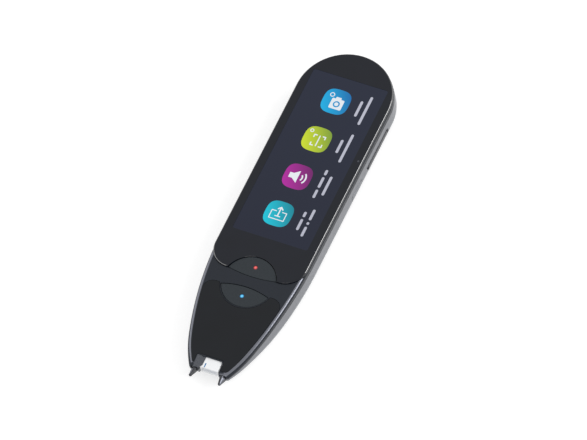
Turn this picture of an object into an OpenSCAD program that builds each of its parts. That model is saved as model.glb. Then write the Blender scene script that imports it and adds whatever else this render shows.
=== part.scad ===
/* [Body] */
// Length from the top end to the tips of the guide fork
body_l = 145; // [142:0.5:150]
// Width across the straight sides
body_w = 38.2; // [37.8:0.1:39]
// Thickness from the back to the face of the glass
body_t = 12.5; // [12.3:0.1:13.2]
// Distance from the fork's tips to the place where the sides start to narrow
taper_l = 57.5; // [56:0.5:59]
// Radius of the narrowing sides
taper_r = 152; // [146:1:160]
// Distance from the fork's tips to the place where the nose curves in
nose_l = 15.5; // [15:0.1:16]
// Radius of the sides along the nose
nose_r = 45; // [43:1:49]
// How far the prongs stand out of the nose
prong_l = 3.7; // [3.4:0.1:4]
// Height of the seam between rear cover and front frame above the back
seam_z = 9; // [8.8:0.05:9.1]
// Radius of the seam's fall towards the nose
seam_r = 246; // [240:1:260]
// Radius of the rounded edge around the back
rear_edge_r = 4; // [3.4:0.1:4.4]
// Radius of the back's rise towards the nose
rear_rise_r = 140; // [136:1:150]

/* [Shells] */
// Wall of the rear cover
cover_wall = 1.3; // [1.2:0.05:1.35]
// Floor of the rear cover
cover_floor = 1; // [0.9:0.05:1.1]
// How far the rest pads stand out of the back
pad_proud = 0.2; // [0.15:0.05:0.3]
// Radius of the rest pads
pad_r = 2.5; // [2:0.1:2.8]
// Wall of the front frame, down to its lip
frame_wall = 2.15; // [2:0.05:2.3]
// Thickness of the frame's web under the display
web_t = 0.8; // [0.7:0.05:0.9]
// Thickness of the frame's face around the buttons
face_t = 1.6; // [1.5:0.05:1.7]
// Depth that the frame's lip reaches into the rear cover
lip_h = 1.7; // [1.2:0.1:2]
// Gap between the lip and the rear cover's wall
lip_gap = 0.05; // [0.03:0.01:0.08]
// Width of the shadow line along the seam
seam_gap = 0.25; // [0.1:0.05:0.35]
// Width of the frame's rounded shoulder
shoulder_w = 1.4; // [1.2:0.1:1.6]
// Height of the frame's rounded shoulder
shoulder_h = 1.3; // [1.1:0.1:1.4]

/* [Glass and panel] */
// Thickness of the cover glass
glass_t = 1.2; // [1.1:0.05:1.3]
// Distance of the glass edge inside the body's side
glass_inset = 0.15; // [0.1:0.05:0.2]
// Step from the glass down to the frame's face
glass_step = 0.7; // [0.6:0.05:0.8]
// Distance of the glass's lower edge above the middle of the buttons
glass_foot = 3.2; // [3:0.1:3.4]
// Radius of the glass's lower corners
glass_corner_r = 8.2; // [7.5:0.1:9]
// Thickness of the adhesive tape under the glass
tape_t = 0.1; // [0.08:0.01:0.14]
// Thickness of the gloss panel between the buttons and the nose
panel_t = 0.5; // [0.4:0.05:0.55]
// Width of the frame's rim beside the panel
panel_rim = 1.5; // [1.4:0.1:1.7]
// Width of the frame's thin rim around the notch and the lower button
panel_lip = 0.3; // [0.25:0.05:0.4]
// Length of the nose below the panel
panel_foot = 1.4; // [1.2:0.1:1.8]
// Distance of the panel's upper edge below the middle of the buttons
panel_top = 3.4; // [3.3:0.1:3.6]
// Radius of the panel's upper corners
panel_corner_r = 4; // [3.5:0.1:4.5]
// Gap around the panel and around the glass's lower edge
reveal = 0.1; // [0.05:0.01:0.14]

/* [Display] */
// Width of the body beside the lit area
display_side = 3.7; // [3.6:0.1:4.1]
// Distance of the display's upper corners inside the edge of the glass
display_edge = 1.2; // [1.15:0.05:1.6]
// Distance of the lit area's lower edge above the middle of the buttons
display_foot = 19; // [18:0.1:21]
// Border of the display module around the lit area
display_border = 0.35; // [0.3:0.05:0.4]
// Extra length of the module below the lit area, for its driver
display_chin = 3; // [2.6:0.1:3.2]
// Thickness of the display cell
cell_t = 1.1; // [1:0.05:1.15]

/* [Buttons] */
// Radius of the circle that both buttons are cut from
button_r = 10.4; // [10.2:0.1:10.6]
// Distance of the circle's middle above the fork's tips
button_l = 41.3; // [41:0.1:41.6]
// Distance of the upper button's corners above the circle's middle
upper_chord = 3.4; // [3.3:0.1:3.6]
// How far the upper button's lower edge bows towards the nose
upper_bow = 1; // [0.8:0.1:1.2]
// Distance of the lower button's corners below the circle's middle
lower_chord = 3.8; // [3.7:0.1:3.9]
// How far the lower button's upper edge bows towards the glass
lower_bow = 1.6; // [1.4:0.1:1.8]
// Gap around each button
button_gap = 0.15; // [0.12:0.01:0.2]
// How far a button goes down
button_travel = 0.3; // [0.2:0.05:0.35]
// Width of the flange that keeps a button in
button_flange = 0.8; // [0.7:0.05:0.9]
// Radius of the light window in each button
light_r = 0.8; // [0.7:0.05:0.9]
// Distance of the red light above the circle's middle
red_light_l = 6.3; // [6:0.1:6.6]
// Distance of the blue light below the circle's middle
blue_light_l = 6.1; // [5.9:0.1:6.4]

/* [Side keys] */
// Length of the volume key
volume_l = 18.6; // [18:0.1:19.2]
// Distance of the volume key's middle below the top end
volume_y = 31.8; // [31.4:0.1:32.2]
// Length of the power key
power_l = 9; // [8.6:0.1:9.4]
// Distance of the power key's middle below the top end
power_y = 50.6; // [50.2:0.1:51]
// Width of both keys
key_w = 1.8; // [1.7:0.05:1.9]
// Height of the keys' middle above the back
key_z = 4.8; // [4.6:0.1:5]
// How far the volume key stands out of the side
volume_proud = 0.35; // [0.3:0.05:0.45]
// How far the power key stands out of the side
power_proud = 0.12; // [0.08:0.02:0.2]
// Gap around each key
key_gap = 0.12; // [0.1:0.01:0.15]
// How far the power key goes in
key_travel = 0.3; // [0.2:0.05:0.35]

/* [Nose] */
// Distance between the middles of the prongs
prong_pitch = 11.9; // [11.8:0.1:12]
// Width of a prong where it leaves the nose
prong_w = 2.3; // [2.2:0.05:2.4]
// Thickness of a prong where it leaves the nose
prong_t = 2.6; // [2.4:0.1:2.7]
// Height of a prong's lower side above the back
prong_z = 4.3; // [4.2:0.05:4.4]
// Width of a prong at its tip
prong_tip_w = 1.3; // [1.1:0.1:1.5]
// Gap around each arm of the fork
arm_gap = 0.1; // [0.05:0.01:0.12]
// How far the fork goes in
fork_travel = 0.8; // [0.6:0.05:0.85]
// Half of the notch's width between the lobes of the nose
notch_half = 4.2; // [4.1:0.05:4.3]
// Distance of the notch's upper edge above the fork's tips
notch_l = 8.7; // [8.5:0.1:9]
// Width of the white scanning hood
hood_w = 7.6; // [7.4:0.1:7.8]
// Thickness of the scanning hood
hood_t = 3.8; // [3.7:0.05:3.9]
// Height of the hood's lower side above the back
hood_z = 3.9; // [3.8:0.05:4]
// Distance of the hood's mouth above the fork's tips
hood_l = 4.4; // [4.2:0.1:4.6]
// Wall of the hood
hood_wall = 0.85; // [0.8:0.05:0.9]

/* [Inside] */
// Thickness of the circuit boards
board_t = 0.8; // [0.7:0.05:0.85]
// Height of the main board's lower side above the back
board_z = 6; // [5.9:0.05:6.1]
// Distance between the boards' edges and the body's side
board_inset = 3.2; // [3:0.1:3.5]
// Distance of the main board's upper end above the middle of the buttons
board_l = 30.2; // [29:0.1:31]
// Gap between the battery and the pieces beside it
battery_gap = 1; // [0.8:0.1:1.4]
// Thickness of the battery
battery_t = 4; // [3.6:0.1:4.1]
// Radius of the thread of the board screws
screw_r = 0.7; // [0.6:0.05:0.75]
// Radial clearance of a screw in its boss
screw_clear = 0.05; // [0.03:0.01:0.08]
// Radius of a screw boss
boss_r = 1.6; // [1.5:0.05:1.8]
// How far a screw goes into its boss
screw_grip = 1.4; // [1.1:0.05:1.45]
// Distance of a screw's middle from the board's edge
screw_inset = 2; // [1.8:0.1:2.3]
// Radius of a post that carries the main board
post_r = 1.4; // [1.2:0.1:1.5]
// Thickness of the flexible circuits
flex_t = 0.12; // [0.1:0.01:0.15]
// Width of the flex that links the boards
link_w = 5; // [4:0.5:6]
// Distance of the speaker's middle below the top end
speaker_y = 21; // [20.6:0.1:21.2]
// Length of the speaker along the body
speaker_l = 10.6; // [10:0.1:10.8]
// Height of the speaker
speaker_h = 3.2; // [3:0.1:3.4]
// Distance of the rear camera's middle below the top end
camera_y = 20.7; // [20.4:0.1:21]
// Width of the rear camera's case
camera_w = 8; // [7.6:0.1:8.2]
// Radius of the rear camera's window
camera_r = 4.1; // [3.9:0.1:4.3]
// Width of the charging socket
usb_w = 9; // [8.9:0.05:9.1]
// Height of the charging socket
usb_h = 3.2; // [3.1:0.05:3.3]
// Depth of the charging socket
usb_l = 7.2; // [7:0.1:7.4]
// Length of the socket's board
usb_board_l = 10; // [9.5:0.1:10.3]
// Distance of the microphone's middle from the socket's middle
mic_x = 7.2; // [7:0.1:7.4]

/* [Hidden] */
$fn = 48;
eps = 0.01;
far = 60;

// Anchors along the body
top_y = body_l / 2;
tip_y = -body_l / 2;
half_w = body_w / 2;
end_y = top_y - half_w;
taper_y = tip_y + taper_l;
bend_y = tip_y + nose_l;
nose_y = tip_y + prong_l;
button_y = tip_y + button_l;
notch_y = tip_y + notch_l;
mouth_y = tip_y + hood_l;
cavity_y = tip_y + 14.5;
face_y = button_y + 8.2;
front_fall_r = 245;
rear_rise_y = tip_y + 34.5;
seam_fall_y = tip_y + 44.5;

// Heights
floor_z = pad_proud + cover_floor;
face_z = body_t - glass_step;
glass_z = body_t - glass_t;
ledge_z = glass_z - tape_t;
web_z = seam_z - 0.7;
web_top = web_z + web_t;
board_top = board_z + board_t;
cover_in_x = half_w - cover_wall;
front_edge_cut = 0.35;

// Outline of the right side, each entry an x, a y and the direction that an inset takes
taper_c = [half_w - taper_r, taper_y];
bend_a = asin((taper_y - bend_y) / taper_r);
nose_c = taper_c + (taper_r - nose_r) * [cos(bend_a), -sin(bend_a)];
nose_a = asin((nose_c[1] - nose_y) / nose_r);
nose_x = nose_c[0] + nose_r * cos(nose_a);

function arc(c, r, from, to, n) = [
    for (i = [1:n])
        let (a = from + (to - from) * i / n)
        [c[0] + r * cos(a), c[1] + r * sin(a), cos(a), sin(a)]
];

body_side = concat(
    [[nose_x, nose_y, 1 / cos(nose_a), 0]],
    arc(nose_c, nose_r, -nose_a, -bend_a, 3),
    arc(taper_c, taper_r, -bend_a, 0, 8),
    [[half_w, end_y, 1, 0]],
    arc([0, end_y], half_w, 0, 90, 13)
);

glass_x = half_w - glass_inset;
glass_y = button_y + glass_foot;
glass_side = concat(
    [[glass_x - glass_corner_r, glass_y, 0, -1]],
    arc([glass_x - glass_corner_r, glass_y + glass_corner_r], glass_corner_r, -90, 0, 7),
    [[glass_x, end_y, 1, 0]],
    arc([0, end_y], glass_x, 0, 90, 13)
);

// Heights that change along the body
function fall(d, r) = d <= 0 ? 0 : r - sqrt(r * r - d * d);
function cap_at(y) = face_z - fall(face_y - y, front_fall_r);
function seam_at(y) = seam_z - fall(seam_fall_y - y, seam_r);
function back_at(y) = pad_proud + fall(rear_rise_y - y, rear_rise_r);
function half_at(y, inset) = y > taper_y ? half_w - inset
    : y > bend_y ? taper_c[0] + sqrt(pow(taper_r - inset, 2) - pow(taper_y - y, 2))
    : nose_c[0] + sqrt(pow(nose_r - inset, 2) - pow(nose_c[1] - y, 2));
function edge_at(y) = min(rear_edge_r, 0.75 * (seam_at(y) - back_at(y)));
function shoulder_at(y) = shoulder_w + 0.3 * fall(bend_y + 10 - y, 60);

function inset_point(p, level, s) = let (h = level(p[1])[0], y = p[1] - h * p[3])
    [s * (p[0] - h * p[2]), y, level(y)[1]];
function ring(side, level) = concat(
    [for (p = side) inset_point(p, level, 1)],
    [for (i = [len(side) - 2:-1:0]) inset_point(side[i], level, -1)]
);

// Closed solid over stacked outlines, where each level gives an inset and a height for every y
module skin(side, levels) {
    n = len(side);
    m = 2 * n - 1;
    k_top = len(levels) - 1;
    walls = [
        for (k = [0:k_top - 1], j = [0:m - 1])
            let (a = k * m + j, b = k * m + (j + 1) % m)
            each [[a, a + m, b + m], [a, b + m, b]]
    ];
    lids = [
        for (i = [0:n - 2])
            let (left = m - 1 - i)
            each i == n - 2 ? [[i, i + 1, left]] : [[i, i + 1, left - 1], [i, left - 1, left]]
    ];
    polyhedron(
        points = [for (level = levels) each ring(side, level)],
        faces = concat(
            walls,
            lids,
            [for (f = lids) [f[2] + k_top * m, f[1] + k_top * m, f[0] + k_top * m]]
        )
    );
}

// Everything between two heights that change along the body
module between(low, high) {
    ys = [for (y = [nose_y - 2:3:button_y + 14]) y];
    n = len(ys) - 1;
    rotate([90, 0, 90])
        linear_extrude(body_w + 4, center = true)
            polygon(concat(
                [for (y = ys) [y, low(y)]],
                [for (i = [n:-1:0]) [ys[i], high(ys[i])]]
            ));
}

module slice(from, to) {
    translate([-far / 2, from, -1]) cube([far, to - from, body_t + 2]);
}

module box(x, y, z) {
    translate([x[0], y[0], z[0]]) cube([x[1] - x[0], y[1] - y[0], z[1] - z[0]]);
}

// Bar with round ends, its middle at the origin, that lies along Y and passes along X
module side_bar(l, w, depth) {
    rotate([0, 90, 0]) linear_extrude(depth)
        hull() {
            translate([0, (l - w) / 2]) circle(w / 2, $fn = 32);
            translate([0, (w - l) / 2]) circle(w / 2, $fn = 32);
        }
}

module mirrored() {
    children();
    mirror([1, 0, 0]) children();
}

module plan(side, inset) {
    polygon([for (p = ring(side, function (y) [inset, 0])) [p[0], p[1]]]);
}

// Front frame: face, shoulders, web, lip and screw bosses
board_y = [tip_y + 22.1, button_y + board_l];
spring_y = tip_y + 25;
stop_t = 1.2;
head_r = 1.25;
screw_places = [
    for (y = [board_y[1] - 5, button_y, spring_y + stop_t + head_r + 0.55])
        [half_at(y, board_inset + screw_inset), y]
];
display_half = half_w - display_side + display_border;
display_y = [
    button_y + display_foot - display_chin,
    end_y + sqrt(pow(glass_x - display_edge, 2) - pow(display_half, 2)),
];
cell_z = glass_z - cell_t;
bend_at = display_y[0] - 1.2;
flex_half = 6;
pocket_gap = 0.15;
arm_x = prong_pitch / 2;

front_levels = concat(
    [
        function (y) [front_edge_cut, seam_at(y)],
        function (y) [0, seam_at(y) + seam_gap],
    ],
    [for (t = [0, 30, 60, 90]) function (y) [
        shoulder_at(y) * (1 - cos(t)),
        cap_at(y) - shoulder_h * (1 - sin(t)),
    ]]
);

module display_outline(grow, z) {
    corner = 1.5;
    translate([0, 0, z[0]]) linear_extrude(z[1] - z[0])
        hull()
            for (x = [-1, 1], y = display_y)
                translate([
                    x * (display_half + grow - corner),
                    y == display_y[0] ? y - grow + corner : y + grow - corner,
                ]) circle(corner, $fn = 32);
}

module frame_cavity() {
    difference() {
        skin(body_side, [
            function (y) [frame_wall, seam_at(y) - 3],
            function (y) [frame_wall, cap_at(y) - face_t],
        ]);
        box([-half_w, half_w], [nose_y - 1, cavity_y], [0, body_t]);
        box([-half_w, half_w], [bend_at, top_y], [web_z, body_t]);
    }
}

module upper_shape(grow, z) {
    chord_half = sqrt(pow(button_r, 2) - pow(upper_chord, 2));
    bow_r = (pow(chord_half, 2) + pow(upper_bow, 2)) / (2 * upper_bow);
    foot = button_y + upper_chord - upper_bow;
    translate([0, 0, z[0]]) intersection() {
        translate([0, button_y, 0]) cylinder(z[1] - z[0], button_r + grow, button_r + grow, $fn = 96);
        translate([0, foot + bow_r, 0]) cylinder(z[1] - z[0], bow_r + grow, bow_r + grow, $fn = 180);
    }
}

module lower_shape(grow, z) {
    chord_half = sqrt(pow(button_r, 2) - pow(lower_chord, 2));
    bow_r = (pow(chord_half, 2) + pow(lower_bow, 2)) / (2 * lower_bow);
    head = button_y - lower_chord + lower_bow;
    translate([0, 0, z[0]]) intersection() {
        translate([0, button_y, 0]) cylinder(z[1] - z[0], button_r + grow, button_r + grow, $fn = 96);
        translate([0, head - bow_r, 0]) cylinder(z[1] - z[0], bow_r + grow, bow_r + grow, $fn = 180);
    }
}

module panel_plan(grow) {
    foot = nose_y + panel_foot;
    head = button_y - panel_top;
    offset(grow) difference() {
        intersection() {
            plan(body_side, panel_rim);
            hull() {
                translate([-half_w, foot]) square([body_w, 1]);
                for (s = [-1, 1])
                    translate([s * (half_at(head, panel_rim) - panel_corner_r), head - panel_corner_r])
                        circle(panel_corner_r, $fn = 48);
                translate([-half_w, foot]) square([body_w, head - foot - 2 * panel_corner_r]);
            }
        }
        translate([0, button_y]) circle(button_r + button_gap + panel_lip + reveal, $fn = 96);
        notch_plan(panel_lip + reveal);
    }
}

module notch_plan(grow) {
    corner = 1.2;
    hull() {
        for (s = [-1, 1])
            translate([s * (notch_half + grow - corner), notch_y + grow - corner])
                circle(corner, $fn = 32);
        translate([-notch_half - grow, nose_y - 3]) square([2 * (notch_half + grow), 1]);
    }
}

module notch() {
    translate([0, 0, -1]) linear_extrude(body_t + 2) notch_plan(0);
}

// Passage for the hood and for the arms of the fork, through the solid part of the nose
module nose_passages() {
    box([-hood_w / 2, hood_w / 2], [nose_y - 1, cavity_y + 0.5], [hood_z, hood_z + hood_t]);
    mirrored() box(
        [arm_x - prong_w / 2 - arm_gap, arm_x + prong_w / 2 + arm_gap],
        [nose_y - 1, cavity_y + 0.5],
        [prong_z - arm_gap, prong_z + prong_t + arm_gap]
    );
}

module front_frame() color([0.17, 0.19, 0.22]) {
    difference() {
        union() {
            skin(body_side, front_levels);
            intersection() {
                skin(body_side, [
                    function (y) [cover_wall + lip_gap, seam_at(y) - lip_h],
                    function (y) [cover_wall + lip_gap, seam_at(y) + 0.4],
                ]);
                slice(cavity_y, top_y);
            }
        }
        frame_cavity();
        display_outline(pocket_gap, [web_top, body_t]);
        translate([0, 0, ledge_z]) linear_extrude(glass_t + 1) union() {
            plan(glass_side, -reveal);
            translate([-half_w - 1, glass_y + glass_corner_r]) square([body_w + 2, body_l]);
        }
        intersection() {
            translate([0, 0, 2]) linear_extrude(body_t) panel_plan(reveal);
            between(function (y) cap_at(y) - panel_t, function (y) cap_at(y) + 2);
        }
        upper_shape(button_gap, [board_top + 1, body_t]);
        lower_shape(button_gap, [board_top + 1, body_t]);
        box([-flex_half - 0.6, flex_half + 0.6], [bend_at - 0.5, display_y[0] + 0.5],
            [web_z - 0.5, cell_z + 0.4]);
        notch();
        nose_passages();
    }
    for (p = screw_places, s = [-1, 1]) {
        foot = p[1] > display_y[0] ? web_z : cap_at(p[1] - boss_r) - face_t;
        translate([s * p[0], p[1], board_top]) difference() {
            cylinder(foot - board_top + 0.3, boss_r, boss_r);
            translate([0, 0, -1])
                cylinder(screw_grip + 1.05, screw_r + screw_clear, screw_r + screw_clear);
        }
    }
}

// Rear cover: shell with openings for keys, socket, speaker and camera
volume_mid = top_y - volume_y;
power_mid = top_y - power_y;
key_board_x = [cover_in_x - 3.8, cover_in_x - 3.8 + 0.6];
key_board_y = [power_mid - 7, volume_mid + 11.3];
camera_at = [key_board_x[0] - 0.8 - camera_w / 2, top_y - camera_y];
camera_hole = camera_r - 0.9;
speaker_x = [4.1 - half_w, camera_at[0] - camera_w / 2 - 3.2];
speaker_at = [(speaker_x[0] + speaker_x[1]) / 2, top_y - speaker_y];
speaker_open = [(speaker_x[1] - speaker_x[0]) / 2 - 2.9, speaker_l / 2 - 1.9];
speaker_z = floor_z + 0.3;
usb_z = [3.3, 3.3 + usb_h];
usb_front = top_y - 0.8;
usb_board_end = top_y - 3.2 - usb_board_l;
battery_z = [floor_z + 0.15, floor_z + 0.15 + battery_t];
battery_y = [board_y[1] + 1.2, speaker_at[1] - speaker_l / 2 - 1.5 - battery_gap];
battery_half = key_board_x[0] - battery_gap;
pad_places = [[11, button_y + 1.2], [9, top_y - 11]];
pad_sunk = 0.3;
window_t = 0.5;
key_flange_t = 0.7;

function cover_level(t, wall, floor_t, keep) = function (y)
    let (r = max(0.3, edge_at(y) - wall * keep))
    [wall + r * (1 - sin(t)), back_at(y) + floor_t + r * (1 - cos(t))];

module side_slot(l, y) {
    translate([cover_in_x - 1, y, key_z])
        side_bar(l + 2 * key_gap, key_w + 2 * key_gap, cover_wall + 3);
}

module rear_cover() color([0.47, 0.48, 0.50]) {
    difference() {
        union() {
            difference() {
                skin(body_side, concat(
                    [for (t = [0, 22.5, 45, 67.5, 90]) cover_level(t, 0, 0, 0)],
                    [function (y) [0, seam_at(y)]]
                ));
                intersection() {
                    skin(body_side, concat(
                        [for (t = [0, 30, 60, 90]) cover_level(t, cover_wall, cover_floor, 1)],
                        [function (y) [cover_wall, seam_at(y) + 1]]
                    ));
                    slice(cavity_y, top_y);
                }
            }
            cover_posts();
        }
        notch();
        nose_passages();
        side_slot(volume_l, volume_mid);
        side_slot(power_l, power_mid);
        translate([0, usb_front - 3.2, (usb_z[0] + usb_z[1]) / 2]) rotate([-90, 0, 0])
            linear_extrude(6) rounded_bar(usb_w + 0.2, usb_h + 0.2);
        translate([-mic_x, usb_front - 4.2, usb_z[0] + 0.6]) rotate([-90, 0, 0])
            cylinder(6, 0.45, 0.45, $fn = 24);
        for (i = [-2:2], j = [-1:1])
            translate([
                speaker_at[0] + i * (speaker_open[0] - 1.2) / 2,
                speaker_at[1] + j * (speaker_open[1] - 1.2),
                -1,
            ]) cylinder(floor_z + 2, 0.55, 0.55, $fn = 24);
        translate([camera_at[0], camera_at[1], -1]) cylinder(floor_z + 2, camera_hole, camera_hole);
        translate([camera_at[0], camera_at[1], -1])
            cylinder(1 + pad_proud + window_t, camera_r + 0.05, camera_r + 0.05);
        for (p = pad_places, s = [-1, 1]) translate([s * p[0], p[1], -1])
            cylinder(1 + pad_proud + pad_sunk, pad_r + 0.05, pad_r + 0.05);
    }
}

module rest_pads() color([0.2, 0.2, 0.2]) {
    for (p = pad_places, s = [-1, 1]) translate([s * p[0], p[1], 0])
        cylinder(pad_proud + pad_sunk, pad_r, pad_r);
}

module rounded_bar(w, h) {
    union() {
        square([w - h, h], center = true);
        for (s = [-1, 1]) translate([s * (w - h) / 2, 0]) circle(h / 2);
    }
}

// Posts, ribs and stops that stand on the rear cover's floor
bar_y = [tip_y + 19.2, tip_y + 21];
pivot_r = 0.6;
pivot_x = cover_in_x - 0.4 - key_flange_t;

module cover_posts() {
    base = floor_z - 0.3;
    for (y = [board_y[1] - 10.2, button_y - 8], s = [-1, 1])
        translate([s * half_at(y, board_inset + 4.2), y, base])
            cylinder(board_z - base, post_r, post_r);
    for (x = [-mic_x, mic_x], y = [usb_board_end + 1.7, usb_board_end + 7.2])
        translate([x, y, base]) cylinder(usb_z[0] - board_t - base, 1, 1, $fn = 24);
    for (y = [battery_y[0] - 1, battery_y[1] + 0.1])
        box([4 - battery_half, battery_half - 4], [y, y + 0.9], [base, 2.8]);
    mirrored() box([arm_x - 2.2, arm_x + 2.2], [spring_y, spring_y + stop_t], [base, board_z]);
    for (y = [key_board_y[0] + 1, key_board_y[1] - 3])
        for (x = [key_board_x[0] - 0.7, key_board_x[1]])
            box([x, x + 0.7], [y, y + 2], [base, 3.4]);
    box([key_board_x[1], pivot_x - pivot_r - 0.05], [volume_mid - 0.6, volume_mid + 0.6],
        [base, key_z + 1.2]);
}

// Glass, tape and panel
module cover_glass() color([0.08, 0.09, 0.1, 0.5]) {
    difference() {
        skin(glass_side, [
            function (y) [0, glass_z],
            function (y) [0, body_t - 0.45],
            function (y) [0.1, body_t - 0.2],
            function (y) [0.3, body_t - 0.05],
            function (y) [0.6, body_t],
        ]);
        translate([0, button_y, glass_z - 1])
            cylinder(glass_t + 2, button_r + button_gap, button_r + button_gap, $fn = 96);
    }
}

module glass_tape() color("black") {
    translate([0, 0, ledge_z]) linear_extrude(tape_t) difference() {
        plan(glass_side, 0.5);
        translate([-display_half - 0.4, display_y[0] - 0.4])
            square([2 * display_half + 0.8, display_y[1] - display_y[0] + 0.8]);
        translate([0, button_y]) circle(button_r + 0.6, $fn = 96);
    }
}

module lower_panel() color([0.06, 0.07, 0.08]) {
    intersection() {
        translate([0, 0, 2]) linear_extrude(body_t) panel_plan(0);
        between(function (y) cap_at(y) - panel_t, function (y) cap_at(y));
    }
}

// Buttons with their windows, switches and lights
flange_t = 0.7;
flange_gap = 0.08;
switch_x = 4.2;
switch_top = board_top + 1.5;
stem_z = switch_top + button_travel + 0.05;
upper_flange_z = cap_at(button_y + upper_chord - upper_bow - button_flange) - face_t - flange_gap;
lower_flange_z = cap_at(button_y - button_r - button_flange) - face_t - flange_gap;
red_y = button_y + red_light_l;
blue_y = button_y - blue_light_l;
upper_top = body_t - 0.25;

module light_bore(y) {
    translate([0, y, board_top]) cylinder(body_t, light_r, light_r, $fn = 32);
}

module button_stem(y, flange_z) {
    translate([switch_x, y, stem_z]) cylinder(flange_z - stem_z, 1.5, 1.5);
}

module upper_button() color([0.2, 0.22, 0.23]) {
    difference() {
        union() {
            intersection() {
                upper_shape(0, [upper_flange_z - 0.2, body_t]);
                between(
                    function (y) 0,
                    function (y) upper_top - 0.045 * max(0, button_y + button_r - y)
                );
            }
            upper_shape(button_flange, [upper_flange_z - flange_t, upper_flange_z]);
            button_stem(red_y, upper_flange_z - flange_t / 2);
        }
        light_bore(red_y);
    }
}

module lower_button() color([0.2, 0.22, 0.23]) {
    difference() {
        union() {
            intersection() {
                lower_shape(0, [lower_flange_z - 0.2, body_t]);
                between(function (y) 0, function (y) cap_at(y) - 0.15);
            }
            lower_shape(button_flange, [lower_flange_z - flange_t, lower_flange_z]);
            button_stem(blue_y, lower_flange_z - flange_t / 2);
        }
        light_bore(blue_y);
    }
}

module light_window(y, z) {
    translate([0, y, z[0]]) cylinder(z[1] - z[0], light_r, light_r, $fn = 32);
}

module red_light_window() color([0.94, 0.45, 0.43]) {
    light_window(red_y, [upper_flange_z - flange_t, upper_top - 0.045 * (button_r - red_light_l) - 0.05]);
}

module blue_light_window() color([0.47, 0.84, 0.96]) {
    light_window(blue_y, [lower_flange_z - flange_t, cap_at(blue_y - light_r) - 0.2]);
}

module button_switches() color("silver") {
    for (y = [red_y, blue_y]) translate([switch_x, y, board_top]) {
        translate([-1.75, -1.75, 0]) cube([3.5, 3.5, 1.1]);
        cylinder(switch_top - board_top, 0.8, 0.8);
    }
}

module indicator_leds() color("ivory") {
    for (y = [red_y, blue_y])
        box([-0.8, 0.8], [y - 0.4, y + 0.4], [board_top, board_top + 0.6]);
}

// Side keys with their board and switches
switch_face = cover_in_x - 1.65;

module volume_key() color([0.16, 0.17, 0.19]) {
    translate([pivot_x, volume_mid, key_z]) {
        side_bar(volume_l, key_w, half_w + volume_proud - pivot_x);
        side_bar(volume_l + 1.6, key_w + 1.2, key_flange_t);
        translate([0, 0, -key_w / 2]) cylinder(key_w, pivot_r, pivot_r);
        for (s = [-1, 1]) translate([switch_face + 0.25 - pivot_x, 6 * s - 0.6, -0.6])
            cube([pivot_x - switch_face, 1.2, 1.2]);
    }
}

module power_key() color([0.45, 0.46, 0.48]) {
    flange_x = cover_in_x - 0.15 - key_flange_t;
    translate([flange_x, power_mid, key_z]) {
        side_bar(power_l, key_w, half_w + power_proud - flange_x);
        side_bar(power_l + 1.6, key_w + 1.2, key_flange_t);
        translate([switch_face + key_travel + 0.05 - flange_x, -0.6, -0.6])
            cube([flange_x - switch_face - key_travel, 1.2, 1.2]);
    }
}

module side_key_board() color([0.1, 0.35, 0.25]) {
    box(key_board_x, key_board_y, [floor_z, web_z - 1]);
}

module side_key_switches() color("silver") {
    for (y = [power_mid, volume_mid - 6, volume_mid + 6])
        translate([key_board_x[1], y, key_z]) {
            translate([0, -1.5, -1]) cube([1.15, 3, 2]);
            rotate([0, 90, 0]) cylinder(switch_face - key_board_x[1], 0.6, 0.6);
        }
}

module side_key_flex() color([0.75, 0.5, 0.2]) {
    box([key_board_x[0] - 1.6, key_board_x[1]], [board_y[1] - 1.8, key_board_y[0]],
        [board_z - flex_t, board_z]);
}

// Fork, springs and switch
module prong() {
    root_y = nose_y + 1;
    tip_r = prong_tip_w / 2;
    intersection() {
        translate([0, 0, prong_z]) linear_extrude(prong_t) hull() {
            translate([arm_x - prong_w / 2, root_y]) square([prong_w, 1]);
            translate([arm_x - prong_w / 2, nose_y]) square([prong_w, 1]);
            translate([arm_x, tip_y + tip_r]) circle(tip_r, $fn = 32);
        }
        rotate([90, 0, 90]) linear_extrude(half_w) hull() {
            translate([nose_y, prong_z]) square([3, prong_t]);
            translate([tip_y + 0.55, prong_z + prong_t - 0.55]) circle(0.55, $fn = 32);
        }
    }
}

module guide_fork() color([0.16, 0.17, 0.19]) {
    mirrored() {
        prong();
        box([arm_x - prong_w / 2, arm_x + prong_w / 2], [nose_y + 1, bar_y[1]],
            [prong_z, prong_z + prong_t]);
        box([arm_x, arm_x + prong_w / 2 + 0.9], [cavity_y + 0.1, cavity_y + 1.5],
            [prong_z, prong_z + prong_t]);
    }
    box([-arm_x, arm_x], bar_y, [prong_z, prong_z + prong_t - 0.4]);
}

// One coil spring as an unbroken tube, from a start at the origin along Y
module coil(r, wire_r, l, turns) {
    steps = 12;
    sides = 6;
    n = steps * turns;
    pts = [
        for (i = [0:n])
            let (a = 360 * i / steps, y = wire_r + (l - 2 * wire_r) * i / n)
            for (j = [0:sides - 1])
                let (b = 360 * j / sides, d = r + wire_r * cos(b))
                [d * cos(a), y + wire_r * sin(b), d * sin(a)]
    ];
    skins = [
        for (i = [0:n - 1], j = [0:sides - 1])
            let (a = i * sides + j, b = i * sides + (j + 1) % sides)
            each [[a, b, b + sides], [a, b + sides, a + sides]]
    ];
    caps = [
        for (j = [1:sides - 2])
            each [[0, j + 1, j], [n * sides, n * sides + j, n * sides + j + 1]]
    ];
    polyhedron(points = pts, faces = concat(skins, caps));
}

module fork_springs() color("silver") {
    mirrored() translate([arm_x, bar_y[1], prong_z + 0.75])
        coil(0.75, 0.14, spring_y - bar_y[1], 5);
}

module fork_switch() color([0.12, 0.12, 0.13]) {
    face = bar_y[1] + fork_travel + 0.1;
    box([-1.7, 1.7], [face + 0.5, face + 3.2], [board_z - 1.7, board_z]);
    box([-0.5, 0.5], [face, face + 0.5], [board_z - 1.3, board_z - 0.6]);
}

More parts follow.
